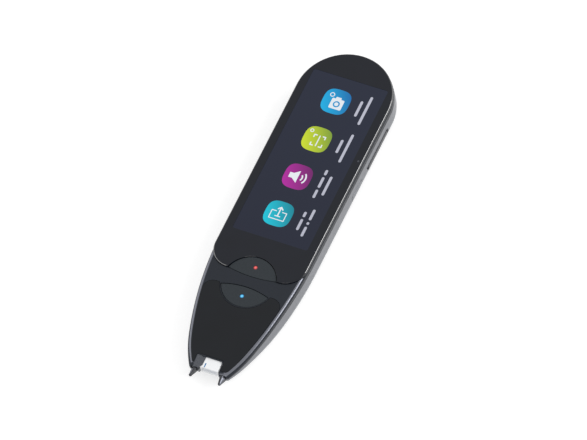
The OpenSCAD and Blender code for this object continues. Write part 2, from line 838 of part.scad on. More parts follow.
// Scanning head in the nose
head_y = tip_y + 12.6;
camera_back = bar_y[0] - 0.2;
hood_mid = hood_z + hood_t / 2;
lens_r = (hood_t - 2 * hood_wall) / 2 - 0.35;

module scan_hood() color([0.93, 0.93, 0.92]) {
    difference() {
        box([-hood_w / 2, hood_w / 2], [mouth_y, head_y], [hood_z, hood_z + hood_t]);
        box([hood_wall - hood_w / 2, hood_w / 2 - hood_wall], [mouth_y - 1, head_y + 1],
            [hood_z + hood_wall, hood_z + hood_t - hood_wall]);
        box([-2.1, -1.7], [mouth_y - 1, mouth_y + 2], [hood_z + hood_t - 0.15, body_t]);
    }
}

module index_mark() color([0.24, 0.47, 0.65]) {
    box([-2.1, -1.7], [mouth_y, mouth_y + 2], [hood_z + hood_t - 0.15, hood_z + hood_t]);
}

module scan_window() color([0.8, 0.85, 0.9, 0.5]) {
    box([hood_wall - hood_w / 2, hood_w / 2 - hood_wall], [mouth_y + 0.8, mouth_y + 1.5],
        [hood_z + hood_wall, hood_z + hood_t - hood_wall]);
}

module scan_board() color([0.1, 0.35, 0.25]) {
    difference() {
        box([-hood_w / 2, hood_w / 2], [head_y, head_y + board_t], [hood_z, hood_z + hood_t]);
        translate([0, head_y - 1, hood_mid]) rotate([-90, 0, 0])
            cylinder(board_t + 2, lens_r + 0.3, lens_r + 0.3);
    }
}

module scan_lamps() color("ivory") {
    mirrored() box([1.6, 2.8], [head_y - 0.6, head_y], [hood_mid - 0.7, hood_mid + 0.7]);
}

module scan_camera() color([0.1, 0.1, 0.11]) {
    back = head_y + board_t;
    difference() {
        union() {
            box([-3, 3], [back, camera_back], [hood_z + 0.1, hood_z + hood_t - 0.1]);
            translate([0, head_y - 1.4, hood_mid]) rotate([-90, 0, 0])
                cylinder(back - head_y + 1.5, lens_r + 0.25, lens_r + 0.25);
        }
        translate([0, head_y - 1.5, hood_mid]) rotate([-90, 0, 0]) cylinder(0.9, lens_r, lens_r);
    }
}

module scan_lens() color([0.5, 0.6, 0.75, 0.6]) {
    translate([0, head_y - 1.2, hood_mid]) rotate([-90, 0, 0]) cylinder(0.6, lens_r, lens_r);
}

module scan_flex() color([0.75, 0.5, 0.2]) {
    box([-1.5, 1.5], [camera_back, board_y[0] + 1.9], [board_top, board_top + flex_t]);
}

// Display
module display_panel() color([0.19, 0.21, 0.25]) {
    display_outline(0, [glass_z - cell_t, glass_z]);
}

module display_backlight() color([0.85, 0.87, 0.9]) {
    display_outline(0, [web_top, glass_z - cell_t]);
}

module display_flex() color([0.75, 0.5, 0.2]) {
    box([-flex_half, flex_half], [bend_at, display_y[0]], [cell_z, cell_z + flex_t]);
    box([-flex_half, flex_half], [bend_at, bend_at + flex_t], [board_top + 0.9, cell_z + flex_t]);
    box([-flex_half - 0.5, flex_half + 0.5], [bend_at - 0.9, bend_at + 1.1],
        [board_top, board_top + 0.9]);
}

// Main board and what is on it
module board_shape() {
    intersection() {
        skin(body_side, [function (y) [board_inset, board_z], function (y) [board_inset, board_top]]);
        slice(board_y[0], board_y[1]);
    }
}

module main_board() color([0.1, 0.35, 0.25]) {
    difference() {
        board_shape();
        for (p = screw_places, s = [-1, 1]) translate([s * p[0], p[1], board_z - 1])
            cylinder(board_t + 2, screw_r + 0.15, screw_r + 0.15, $fn = 24);
    }
}

module board_screws() color("silver") {
    for (p = screw_places, s = [-1, 1]) translate([s * p[0], p[1], board_z]) {
        translate([0, 0, -0.7]) difference() {
            cylinder(0.7, head_r, head_r);
            translate([0, 0, -eps]) cylinder(0.35, 0.5, 0.5, $fn = 6);
        }
        cylinder(board_t + screw_grip, screw_r, screw_r);
    }
}

shield_y = [button_y - 5, button_y + 15];

module processor() color([0.13, 0.13, 0.14]) {
    box([-6, 6], [shield_y[0] + 4, shield_y[0] + 16], [board_z - 1.1, board_z]);
}

module shield_can() color("silver") {
    difference() {
        box([-9, 9], shield_y, [board_z - 2, board_z]);
        box([-8.8, 8.8], [shield_y[0] + 0.2, shield_y[1] - 0.2], [board_z - 1.8, board_z + 1]);
    }
}

module board_parts() color([0.15, 0.15, 0.16]) {
    box([-10, -3], [bend_at + 3, board_y[1] - 3], [board_top, board_top + 0.9]);
    box([2, 10], [bend_at + 4, board_y[1] - 4], [board_top, board_top + 1]);
    box([-9, -5], [button_y + 2, button_y + 7], [board_top, board_top + 0.9]);
    box([-4, 4], [board_y[0] + 4.2, board_y[0] + 8.2], [board_top, board_top + 0.9]);
}

// Battery with its tape and lead
lead_x = [1 - battery_half, 3.5 - battery_half];
plug_side = 0.4;

module battery() color([0.75, 0.76, 0.78]) {
    r = 1.2;
    translate([0, 0, battery_z[0]]) linear_extrude(battery_t) hull()
        for (x = [-1, 1], y = [battery_y[0] + r, battery_y[1] - r])
            translate([x * (battery_half - r), y]) circle(r, $fn = 32);
}

module battery_tape() color("white") {
    box([3 - battery_half, battery_half - 3], [battery_y[0] + 3, battery_y[1] - 3],
        [floor_z, battery_z[0]]);
}

module battery_lead() color([0.75, 0.5, 0.2]) {
    turn = board_y[1] - 1.8;
    box(lead_x, [turn, battery_y[0]], [4.2, 4.2 + flex_t]);
    box(lead_x, [turn, turn + flex_t], [4.2, board_z - 0.8]);
    box([lead_x[0] - plug_side, lead_x[1] + plug_side], [turn - 1.2, turn + 1.1],
        [board_z - 0.8, board_z]);
}

// Speaker, camera and socket board at the top end
module speaker_hole(z) {
    box([speaker_at[0] - speaker_open[0], speaker_at[0] + speaker_open[0]],
        [speaker_at[1] - speaker_open[1], speaker_at[1] + speaker_open[1]], z);
}

module speaker() color([0.14, 0.14, 0.15]) {
    difference() {
        box(speaker_x, [speaker_at[1] - speaker_l / 2, speaker_at[1] + speaker_l / 2],
            [speaker_z, speaker_z + speaker_h]);
        speaker_hole([speaker_z - 1, speaker_z + 0.5]);
    }
}

module speaker_gasket() color([0.2, 0.2, 0.2]) {
    difference() {
        box([speaker_x[0] + 1.5, speaker_x[1] - 1.5],
            [speaker_at[1] - speaker_open[1] - 1.2, speaker_at[1] + speaker_open[1] + 1.2],
            [floor_z, speaker_z]);
        speaker_hole([floor_z - 1, speaker_z + 1]);
    }
}

module rear_camera() color([0.12, 0.12, 0.13]) {
    window_top = pad_proud + window_t;
    translate([camera_at[0], camera_at[1], 0]) difference() {
        union() {
            translate([-camera_w / 2, -camera_w / 2, floor_z]) cube([camera_w, camera_w, 4.2]);
            translate([0, 0, window_top + 0.1])
                cylinder(floor_z - window_top, camera_hole - 0.2, camera_hole - 0.2);
        }
        translate([0, 0, window_top]) cylinder(0.9, 2.2, 1.4);
    }
}

module rear_camera_window() color([0.1, 0.11, 0.13, 0.6]) {
    translate([camera_at[0], camera_at[1], pad_proud]) cylinder(window_t, camera_r, camera_r);
}

module usb_board() color([0.1, 0.35, 0.25]) {
    intersection() {
        skin(body_side, [
            function (y) [board_inset, usb_z[0] - board_t],
            function (y) [board_inset, usb_z[0]],
        ]);
        slice(usb_board_end, top_y);
    }
}

module usb_socket() color("silver") {
    translate([0, usb_front - usb_l, (usb_z[0] + usb_z[1]) / 2]) rotate([-90, 0, 0]) {
        difference() {
            linear_extrude(usb_l) rounded_bar(usb_w, usb_h);
            translate([0, 0, 1]) linear_extrude(usb_l) rounded_bar(usb_w - 0.6, usb_h - 0.6);
        }
        translate([-3.35, -0.35, 0.5]) cube([6.7, 0.7, usb_l - 1.6]);
    }
}

module microphone() color([0.8, 0.7, 0.4]) {
    box([-mic_x - 1.2, -mic_x + 1.2], [usb_front - 7, usb_front - 5], [usb_z[0], usb_z[0] + 1]);
}

module board_link_flex() color([0.75, 0.5, 0.2]) {
    link_x = lead_x[1] + plug_side + 1.1;
    x = [link_x, link_x + link_w];
    turn = board_y[1] - 1.6;
    end = usb_board_end + 1;
    z = battery_z[1];
    box(x, [turn - 1.2, turn], [board_z - flex_t, board_z]);
    box(x, [turn - flex_t, turn], [z, board_z]);
    box(x, [turn - flex_t, end], [z, z + flex_t]);
    box(x, [end - flex_t, end], [usb_z[0], z + flex_t]);
    box(x, [end - flex_t, end + 1], [usb_z[0], usb_z[0] + flex_t]);
}

module antenna() color([0.75, 0.5, 0.2]) {
    box([10 - half_w, half_w - 10], [top_y - 14, top_y - 6], [web_z - 0.2, web_z]);
}

front_frame();
rear_cover();
rest_pads();
cover_glass();
glass_tape();
lower_panel();
upper_button();
lower_button();
red_light_window();
blue_light_window();
button_switches();
indicator_leds();
volume_key();
power_key();
side_key_board();
side_key_switches();
side_key_flex();
guide_fork();
fork_springs();
fork_switch();
scan_hood();
index_mark();
scan_window();
scan_board();
scan_lamps();
scan_camera();
scan_lens();
scan_flex();
display_panel();
display_backlight();
display_flex();
main_board();
processor();
shield_can();
board_parts();
board_screws();
battery();
battery_tape();
battery_lead();
speaker();
speaker_gasket();
rear_camera();
rear_camera_window();
usb_board();
usb_socket();
microphone();
board_link_flex();
antenna();
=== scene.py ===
import math

import bmesh
import bpy
from mathutils import Euler, Matrix, Vector


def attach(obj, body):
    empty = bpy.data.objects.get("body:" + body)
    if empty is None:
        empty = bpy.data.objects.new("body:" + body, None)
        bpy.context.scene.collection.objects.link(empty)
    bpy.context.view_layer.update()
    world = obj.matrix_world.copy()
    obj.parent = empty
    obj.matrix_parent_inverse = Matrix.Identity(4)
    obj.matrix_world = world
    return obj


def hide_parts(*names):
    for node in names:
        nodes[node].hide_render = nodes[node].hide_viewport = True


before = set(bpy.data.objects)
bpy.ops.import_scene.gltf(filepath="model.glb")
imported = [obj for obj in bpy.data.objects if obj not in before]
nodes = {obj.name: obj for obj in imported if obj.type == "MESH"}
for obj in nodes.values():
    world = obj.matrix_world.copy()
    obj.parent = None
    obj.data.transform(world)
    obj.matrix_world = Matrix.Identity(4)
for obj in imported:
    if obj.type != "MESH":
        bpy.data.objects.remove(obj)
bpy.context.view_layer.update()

# Rear cover
# The lower shell, moulded in filled plastic with a gunmetal coat. Its wall runs up to the seam, where
# the frame's lip fits inside it. Its flat back has rounded edges and rises towards the nose.
mm = 0.001
half_w = 19.1
end_y = 53.4
taper_y = -15
taper_r = 152
bend_y = -57
nose_r = 45
nose_y = -68.8
nose_corner_r = 0.9
front_share = 0.45
cap_z = 11.8
cap_bend = (-23, 245)
seam_z = 9
seam_bend = (-28, 246)
back_z = 0.2
back_bend = (-38, 140)
edge_r = 4
edge_share = 0.75
cover_wall = 1.3
cavity_y = -58
notch_y = -63.8
notch_half = 4.2
notch_corner_r = 1.2
beyond_x = (-30, 30)
beyond_y = (nose_y - 4, 80)
beyond_z = (-5, 20)

bend = math.asin((taper_y - bend_y) / taper_r)
taper_x = half_w - taper_r
nose_c = (
    taper_x + (taper_r - nose_r) * math.cos(bend),
    taper_y - (taper_r - nose_r) * math.sin(bend),
)


def fall(d, r):
    """How far an arc has left its tangent at a distance past the place where it starts."""
    return 0 if d <= 0 else r - math.sqrt(r * r - d * d)


def cap_at(y):
    return cap_z - fall(cap_bend[0] - y, cap_bend[1])


def seam_at(y):
    return seam_z - fall(seam_bend[0] - y, seam_bend[1])


def back_at(y):
    return back_z + fall(back_bend[0] - y, back_bend[1])


def edge_at(y):
    return min(edge_r, edge_share * (seam_at(y) - back_at(y)))


def on_circle(centre, r, a):
    return centre[0] + r * math.cos(a), centre[1] + r * math.sin(a)


def side_point(span, t, inset):
    """A point of the body's right side, pulled in by inset, with t from 0 to 1 over one span."""
    if span in ("corner", "nose"):
        r = max(nose_corner_r - inset, 0.05)
        y = nose_y + front_share * inset + r
        reach = nose_r - inset - r
        x = nose_c[0] + math.sqrt(reach ** 2 - (y - nose_c[1]) ** 2)
        turn = math.atan2(y - nose_c[1], x - nose_c[0])
        if span == "corner":
            return on_circle((x, y), r, t * (turn + math.pi / 2) - math.pi / 2)
        return on_circle(nose_c, nose_r - inset, turn + t * (-bend - turn))
    if span == "taper":
        return on_circle((taper_x, taper_y), taper_r - inset, bend * (t - 1))
    if span == "straight":
        return half_w - inset, taper_y + t * (end_y - taper_y)
    return on_circle((0, end_y), half_w - inset, t * math.pi / 2)


body_spans = [("corner", 6), ("nose", 14), ("taper", 36), ("straight", 16), ("end", 36)]
body_stops = [(span, i / count) for span, count in body_spans for i in range(count)] + [("end", 1)]


def body_ring(level):
    """The closed outline at one level, which gives an inset and a height for every y."""
    side = []
    for span, t in body_stops:
        inset = level(side_point(span, t, 0)[1])[0]
        x, y = side_point(span, t, inset)
        side.append((x, y, level(y)[1]))
    side[-1] = (0, side[-1][1], side[-1][2])
    return side + [(-x, y, z) for x, y, z in side[-2::-1]]


def in_scene(name, bm):
    """Writes a mesh that is still in millimetres."""
    bmesh.ops.recalc_face_normals(bm, faces=bm.faces)
    mesh = bpy.data.meshes.new(name)
    bm.to_mesh(mesh)
    bm.free()
    made = bpy.data.objects.new(name, mesh)
    bpy.context.scene.collection.objects.link(made)
    return made


def walls(bm, rows):
    """Joins closed rows of corners, each to the next."""
    for low, high in zip(rows, rows[1:]):
        for i in range(len(low)):
            j = (i + 1) % len(low)
            bm.faces.new((low[i], low[j], high[j], high[i]))


def solid(rings, bm=None):
    """A closed shape through rings of points, with a lid on the first ring and on the last."""
    bm = bm or bmesh.new()
    rows = [[bm.verts.new(p) for p in ring] for ring in rings]
    bm.faces.new(rows[0][::-1])
    bm.faces.new(rows[-1])
    walls(bm, rows)
    return bm


def stack(name, levels):
    """Closed body over its outline at several levels, with lids that span from side to side."""
    bm = bmesh.new()
    rows = [[bm.verts.new(p) for p in body_ring(level)] for level in levels]
    walls(bm, rows)
    n = len(body_stops)
    for row in (rows[0], rows[-1]):
        for i in range(n - 2):
            bm.faces.new((row[i], row[i + 1], row[-2 - i], row[-1 - i]))
        bm.faces.new((row[n - 2], row[n - 1], row[n]))
    return in_scene(name, bm)


def laid(bm, along):
    """Turns a shape that was drawn on the floor and raised, so that it runs along x or y."""
    if along == "x":
        turn = Matrix(((0, 0, 1), (1, 0, 0), (0, 1, 0)))
    else:
        turn = Matrix(((0, 1, 0), (0, 0, 1), (1, 0, 0)))
    bmesh.ops.transform(bm, matrix=turn.to_4x4(), verts=bm.verts)
    return bm


def prism(outline, low, high):
    return solid([[(x, y, z) for x, y in outline] for z in (low, high)])


def block(x, y, z):
    return prism([(x[0], y[0]), (x[1], y[0]), (x[1], y[1]), (x[0], y[1])], *z)


def turned(profile, centre, sides=48, bm=None):
    """A shape turned about an upright line through centre, from pairs of radius and height."""
    angles = [2 * math.pi * i / sides for i in range(sides)]
    return solid([[(*on_circle(centre, r, a), z) for a in angles] for r, z in profile], bm)


def arc(cx, cy, r, start, end, count):
    """Points of an arc, angles in degrees, both ends included."""
    steps = [math.radians(start + (end - start) * i / count) for i in range(count + 1)]
    return [on_circle((cx, cy), r, a) for a in steps]


def rounded_box(x, y, r, count=8):
    return (
        arc(x[1] - r, y[0] + r, r, -90, 0, count)
        + arc(x[1] - r, y[1] - r, r, 0, 90, count)
        + arc(x[0] + r, y[1] - r, r, 90, 180, count)
        + arc(x[0] + r, y[0] + r, r, 180, 270, count)
    )


def bar(length, width, count=16):
    """A bar with round ends that lies along the first axis."""
    reach = (length - width) / 2
    return arc(reach, 0, width / 2, -90, 90, count) + arc(-reach, 0, width / 2, 90, 270, count)


def joined(made, tool, how):
    """Cuts, joins or keeps what is shared, and takes the tool away."""
    work = made.modifiers.new(how, "BOOLEAN")
    work.operation = how
    work.solver = "MANIFOLD"
    work.object = tool
    graph = bpy.context.evaluated_depsgraph_get()
    mesh = bpy.data.meshes.new_from_object(made.evaluated_get(graph))
    made.modifiers.clear()
    made.data = mesh
    bpy.data.objects.remove(tool)
    return made


def cut(made, bm):
    return joined(made, in_scene("tool", bm), "DIFFERENCE")


def add(made, bm):
    return joined(made, in_scene("tool", bm), "UNION")


def without_nose(made):
    """Keeps what lies behind the solid nose."""
    behind = block(beyond_x, (cavity_y, beyond_y[1]), beyond_z)
    return joined(made, in_scene("tool", behind), "INTERSECT")


def dressed(made, skin, crease=32):
    """Brings a finished mesh to metres, with sharp edges kept and the rest shaded smooth."""
    mesh = made.data
    mesh.transform(Matrix.Scale(mm, 4))
    bm = bmesh.new()
    bm.from_mesh(mesh)
    bmesh.ops.remove_doubles(bm, verts=bm.verts, dist=1e-6)
    bmesh.ops.dissolve_degenerate(bm, edges=bm.edges, dist=5e-7)
    bmesh.ops.triangulate(bm, faces=[f for f in bm.faces if len(f.verts) > 4])
    bm.to_mesh(mesh)
    bm.free()
    mesh.shade_smooth()
    mesh.set_sharp_from_angle(angle=math.radians(crease))
    even = made.modifiers.new("even", "WEIGHTED_NORMAL")
    even.keep_sharp = True
    mesh.materials.clear()
    mesh.materials.append(skin)
    return made


def shade(r, g, b):
    """A colour as it looks on a screen, from 0 to 255, as the shader wants it."""
    return tuple(
        c / 12.92 / 255 if c <= 10 else ((c / 255 + 0.055) / 1.055) ** 2.4 for c in (r, g, b)
    )


def new_finish(name):
    skin = bpy.data.materials.new(name)
    skin.use_nodes = True
    return skin


def step(skin, kind, links=(), **values):
    """A shader step with its settings and the sockets that feed it."""
    made = skin.node_tree.nodes.new(kind)
    for key, value in values.items():
        setattr(made, key, value)
    for socket, source in links:
        if hasattr(source, "node"):
            skin.node_tree.links.new(source, made.inputs[socket])
        else:
            made.inputs[socket].default_value = source
    return made


def grain(skin, spot, detail=2.0):
    """Noise over the surface with spots of a given size in millimetres."""
    place = step(skin, "ShaderNodeTexCoord").outputs["Object"]
    links = [("Vector", place), ("Scale", 1 / (spot * mm)), ("Detail", detail)]
    return step(skin, "ShaderNodeTexNoise", links).outputs["Fac"]


def ranged(skin, source, low, high, start=0.3, stop=0.7):
    """Maps a value between start and stop to one between low and high."""
    links = [("Value", source), ("From Min", start), ("From Max", stop)]
    links += [("To Min", low), ("To Max", high)]
    return step(skin, "ShaderNodeMapRange", links).outputs["Result"]


def blended(skin, source, dark, light):
    """A colour between two, by a value from 0 to 1. Sockets 6, 7 and 2 are the ones for colours."""
    links = [("Factor", source), (6, (*dark, 1)), (7, (*light, 1))]
    return step(skin, "ShaderNodeMix", links, data_type="RGBA").outputs[2]


def feed(skin, shader="Principled BSDF", **sources):
    """Gives the shader's sockets their sources or, where one is a plain value, their values."""
    for name, source in sources.items():
        socket = skin.node_tree.nodes[shader].inputs[name.replace("_", " ")]
        if hasattr(source, "node"):
            skin.node_tree.links.new(source, socket)
        else:
            socket.default_value = source


def raised(skin, source, depth):
    """Lifts the surface by a depth in millimetres."""
    bump = step(skin, "ShaderNodeBump", [("Height", source), ("Distance", depth * mm)])
    feed(skin, Normal=bump.outputs["Normal"])


def around(colour, change):
    """A darker and a lighter shade of a colour."""
    return tuple(c * (1 - change) for c in colour), tuple(c * (1 + change) for c in colour)


def mottled(name, colour, change, roughness, spread, metal, shine, spots, detail, depth):
    """A finish that varies in colour, gloss and height, each with spots of its own size."""
    skin = new_finish(name)
    patches = ranged(skin, grain(skin, spots[0], detail), 0, 1)
    feed(
        skin,
        Base_Color=blended(skin, patches, *around(colour, change)),
        Roughness=ranged(skin, grain(skin, spots[1]), roughness - spread, min(1, roughness + spread)),
        Metallic=metal,
        Specular_IOR_Level=shine,
    )
    raised(skin, grain(skin, spots[2], detail), depth)
    return skin


def coat(name, colour, metal, roughness, change=0.12, peel=0.004, shine=0.5):
    """Sprayed coat: fine flakes in the colour and a faint orange peel."""
    return mottled(name, colour, change, roughness, 0.03, metal, shine, (0.12, 6, 0.5), 1.0, peel)


def notch_outline(grow, left_half=notch_half):
    """The notch in the nose, grown evenly, whose left side can lie further out."""
    half = notch_half + grow
    left_half += grow
    head = notch_y + grow
    r = notch_corner_r
    foot = beyond_y[0]
    right = arc(half - r, head - r, r, 0, 90, 8)
    left = arc(r - left_half, head - r, r, 90, 180, 8)
    return [(-left_half, foot), (half, foot)] + right + left


def seam_level(inset, rise):
    """A level that follows the seam, pulled in by inset and raised."""
    return lambda y: (inset, seam_at(y) + rise)


def cover_level(degrees, wall, floor):
    """A level of the rounded edge, on the outside or pulled in by a wall and a floor."""
    t = math.radians(degrees)

    def level(y):
        r = max(0.3, edge_at(y) - wall)
        return wall + r * (1 - math.sin(t)), back_at(y) + floor + r * (1 - math.cos(t))

    return level


gunmetal = coat("gunmetal_coat", shade(126, 128, 133), 0.85, 0.3)
cover = stack("rear_shell", [cover_level(t, 0, 0) for t in range(0, 91, 9)] + [seam_level(0, 0)])
floor_t = 1
inner_levels = [cover_level(t, cover_wall, floor_t) for t in range(0, 91, 15)]
inside = stack("cover_inside", inner_levels + [seam_level(cover_wall, 1)])
joined(cover, without_nose(inside), "DIFFERENCE")
cut(cover, prism(notch_outline(0), *beyond_z))

hood_x = 3.8
hood_z = (3.9, 7.7)
prong_x = 5.95
prong_half = 1.15
prong_z = (4.3, 6.9)
slide_gap = 0.1
arm_half = prong_half + slide_gap
nose_passages = [((-hood_x, hood_x), hood_z)]
for x in (prong_x, -prong_x):
    arm_z = (prong_z[0] - slide_gap, prong_z[1] + slide_gap)
    nose_passages.append(((x - arm_half, x + arm_half), arm_z))
passage_y = (beyond_y[0], cavity_y + 0.5)
for x, z in nose_passages:
    cut(cover, block(x, passage_y, z))

volume_y = 40.7
volume_l = 18.6
power_y = 21.9
power_l = 9
key_w = 1.8
key_gap = 0.12
key_z = 4.8
key_slot_x = (16.8, 20.5)
for y, length in ((volume_y, volume_l), (power_y, power_l)):
    slot_tool = laid(prism(bar(length + 2 * key_gap, key_w + 2 * key_gap), *key_slot_x), "x")
    bmesh.ops.translate(slot_tool, vec=(0, y, key_z), verts=slot_tool.verts)
    cut(cover, slot_tool)

socket_z = 4.9
port_w = 9.2
port_h = 3.4
port_bevel = 0.25
port_rim_y = (72.15, 72.6)
inside_y = 67.5
port_levels = [(0, inside_y), (0, port_rim_y[0])]
port_levels += [(port_bevel, port_rim_y[1]), (port_bevel, beyond_y[1])]
port_rings = []
for grow, y in port_levels:
    mouth = bar(port_w + 2 * grow, port_h + 2 * grow)
    port_rings.append([(u, y, socket_z + v) for u, v in mouth])
cut(cover, solid(port_rings))
mic_x = -7.2
mic_z = 3.9
mic_r = 0.45
cut(cover, laid(turned([(mic_r, inside_y), (mic_r, beyond_y[1])], (mic_z, mic_x), 24), "y"))

speaker_c = (-6.5, 51.5)
hole_pitch = 2.2
hole_r = 0.55
back_bevel = 0.15
inside_z = 2
low_z = -1
grille = bmesh.new()
hole = [(hole_r + back_bevel, low_z), (hole_r + back_bevel, back_z)]
hole += [(hole_r, back_z + back_bevel), (hole_r, inside_z)]
for i in range(-2, 3):
    for j in range(-1, 2):
        centre = (speaker_c[0] + hole_pitch * i, speaker_c[1] + hole_pitch * j)
        turned(hole, centre, 24, grille)
cut(cover, grille)
camera_c = (9.2, 51.8)
window_r = 4.1
sight_r = 3.2
glue_gap = 0.05
seat_r = window_r + glue_gap
seat_z = 0.7
seat = [(seat_r + back_bevel, low_z), (seat_r + back_bevel, back_z)]
seat += [(seat_r, back_z + back_bevel), (seat_r, seat_z), (sight_r, seat_z), (sight_r, inside_z)]
cut(cover, turned(seat, camera_c))
pad_r = 2.5
pad_top = 0.5
pad_places = [(11, -30), (-11, -30), (9, 61.5), (-9, 61.5)]
hollows = bmesh.new()
for place in pad_places:
    turned([(pad_r + glue_gap, low_z), (pad_r + glue_gap, pad_top)], place, 48, hollows)
cut(cover, hollows)
dressed(cover, gunmetal)
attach(cover, "housing")
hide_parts("rear_cover")

# Front frame
# The upper shell, moulded in one with the band around the buttons, the shoulders and the nose. Its
# face has a dark satin coat and its shoulders a lighter metallic one. That coat is laid on the rows
# where the lamps' highlight falls, so it is partly a painted highlight. On the left the band is
# narrower and stops short of the nose tip, which paints shade on that side. The glass sits on its ledge.
shoulder_h = 1.3
shoulder_w = 1.4
frame_wall = 2.15
lip_gap = 0.05
lip_drop = 1.7
face_t = 1.6
ledge_z = 11.2
display_y = (-15.2, 61.585)
display_half = 15.75
display_corner = 1.5
display_gap = 0.15
display_wall = 1.2
display_floor = 8.3
display_seat = 9.1
flex_x = (-6.6, 6.6)
flex_y = (-16.9, -14.7)
flex_z = (7.8, 10.6)
glass_half = 18.95
glass_y = -28.0
glass_corner_r = 8.2
glass_gap = 0.1
panel_foot = -67.4
panel_head = -34.6
panel_rim = 1.5
panel_corner_r = 4
panel_lip = 0.4
panel_gap = 0.1
panel_t = 0.5
panel_foot_in = 0.4
button_band = 0.55
cheek_x = (-6.3, -2.85)
cheek_z = 7.0
cheek_gap = 0.05
cheek_lap = 0.2
# Rows of the shoulder that get the lighter coat, as a share of its height. The left rows are fewer and
# end before the nose tip: painted shade on the left shoulder.
right_rows = (0.02, 0.36)
left_painted_shade_rows = (-0.01, 0.19)
left_painted_shade_y = nose_y + 1.4
button_y = -31.2
button_r = 10.4
button_gap = 0.15
board_top = 6.8
drape_pitch = 1.5
lens_steps = 48


def under_cap(depth):
    """The face's height, lowered by a depth."""
    return lambda y: cap_at(y) - depth


def shoulder_at(y):
    """The shoulder's width, which grows towards the nose."""
    return shoulder_w + 0.3 * fall(bend_y + 10 - y, 60)


def shoulder_level(degrees):
    t = math.radians(degrees)
    return lambda y: (shoulder_at(y) * (1 - math.cos(t)), cap_at(y) - shoulder_h * (1 - math.sin(t)))


def grown(outline, by):
    """The outline moved outwards, square to its edges."""
    n = len(outline)
    made = []
    for i in range(n):
        a, b, c = (Vector(outline[k % n]) for k in (i - 1, i, i + 1))
        d1, d2 = (b - a).normalized(), (c - b).normalized()
        n1, n2 = Vector((d1.y, -d1.x)), Vector((d2.y, -d2.x))
        made.append(b + (n1 + n2) * (by / (1 + n1.dot(n2))))
    return [(p.x, p.y) for p in made]


def draped(outline, levels):
    """A plate whose levels follow heights along the body, from pairs of growth and height."""
    bm = solid([[(x, y, k) for x, y in grown(outline, by)] for k, (by, _) in enumerate(levels)])
    ys = [p[1] for p in outline]
    y = min(ys) + drape_pitch / 2
    while y < max(ys):
        everything = bm.verts[:] + bm.edges[:] + bm.faces[:]
        bmesh.ops.bisect_plane(bm, geom=everything, plane_co=(0, y, 0), plane_no=(0, 1, 0), dist=1e-4)
        y += drape_pitch
    bmesh.ops.triangulate(bm, faces=[f for f in bm.faces if len(f.verts) > 4])
    for v in bm.verts:
        k = min(int(v.co.z), len(levels) - 2)
        part = v.co.z - k
        low, high = levels[k][1](v.co.y), levels[k + 1][1](v.co.y)
        v.co.z = low + part * (high - low)
    return bm


def lens(low_c, low_r, high_c, high_r):
    """The shape that two circles on the middle line share: top edge from the lower circle."""
    d = high_c - low_c
    y = (low_r ** 2 - high_r ** 2 + d ** 2) / (2 * d)
    x = math.sqrt(low_r ** 2 - y ** 2)
    a = math.degrees(math.atan2(y, x))
    b = math.degrees(math.atan2(y - d, x))
    top = arc(0, low_c, low_r, a, 180 - a, lens_steps)
    foot = arc(0, high_c, high_r, -180 - b, b, lens_steps)
    return top[:-1] + foot[:-1]


def bow_r(chord, bow):
    """The radius of an edge that bows out from a chord of the buttons' circle."""
    return (button_r ** 2 - chord ** 2 + bow ** 2) / (2 * bow)


upper_chord = 3.4
upper_bow = 1.0
lower_chord = 3.8
lower_bow = 1.6
upper_bow_r = bow_r(upper_chord, upper_bow)
lower_bow_r = bow_r(lower_chord, lower_bow)
upper_foot = button_y + upper_chord - upper_bow
lower_head = button_y - lower_chord + lower_bow


def upper_outline(grow):
    return lens(button_y, button_r + grow, upper_foot + upper_bow_r, upper_bow_r + grow)


def lower_outline(grow):
    return lens(lower_head - lower_bow_r, lower_bow_r + grow, button_y, button_r + grow)


def half_at(y, inset):
    """Half the body's width at y on its curved stretch, pulled in by inset."""
    if y > bend_y:
        return taper_x + math.sqrt((taper_r - inset) ** 2 - (taper_y - y) ** 2)
    return nose_c[0] + math.sqrt((nose_r - inset) ** 2 - (nose_c[1] - y) ** 2)


def mirrored_outline(right):
    """Closes a right-hand side, given upwards, with its mirror image."""
    return right + [(-x, y) for x, y in right[::-1] if abs(x) > 1e-6]


def panel_outline():
    """The gloss panel: nose lobes, sides, rounded head, and the cuts for notch and button."""
    half = notch_half + panel_lip
    r = notch_corner_r
    corner = arc(r - half, notch_y + panel_lip - r, r, 90, 180, 8)
    right = [(-x, y) for x, y in corner] + [(half, panel_foot)]
    steps = 44
    corner_y = panel_head - panel_corner_r
    side = [panel_foot + (corner_y - panel_foot) * i / steps for i in range(steps + 1)]
    right.append((half_at(panel_foot, panel_rim) - panel_foot_in, panel_foot))
    right += [(half_at(y, panel_rim), y) for y in side[1:]]
    right += arc(half_at(corner_y, panel_rim) - panel_corner_r, corner_y, panel_corner_r, 4, 90, 12)
    r = button_r + button_band
    start = math.degrees(math.asin((panel_head - button_y) / r))
    right += arc(0, button_y, r, start, -90, 40)
    return mirrored_outline(right)


def glass_outline(grow):
    """The glass's foot with its two corners and its sides, up to the round end."""
    half = glass_half + grow
    r = glass_corner_r + grow
    foot = glass_y - grow
    right = arc(half - r, foot + r, r, -90, 0, 20)
    right += [(half, foot + r + (end_y - foot - r) * i / 12) for i in range(1, 12)]
    right += arc(0, end_y, half, 0, 90, 40)
    right[-1] = (0, right[-1][1])
    return mirrored_outline(right)


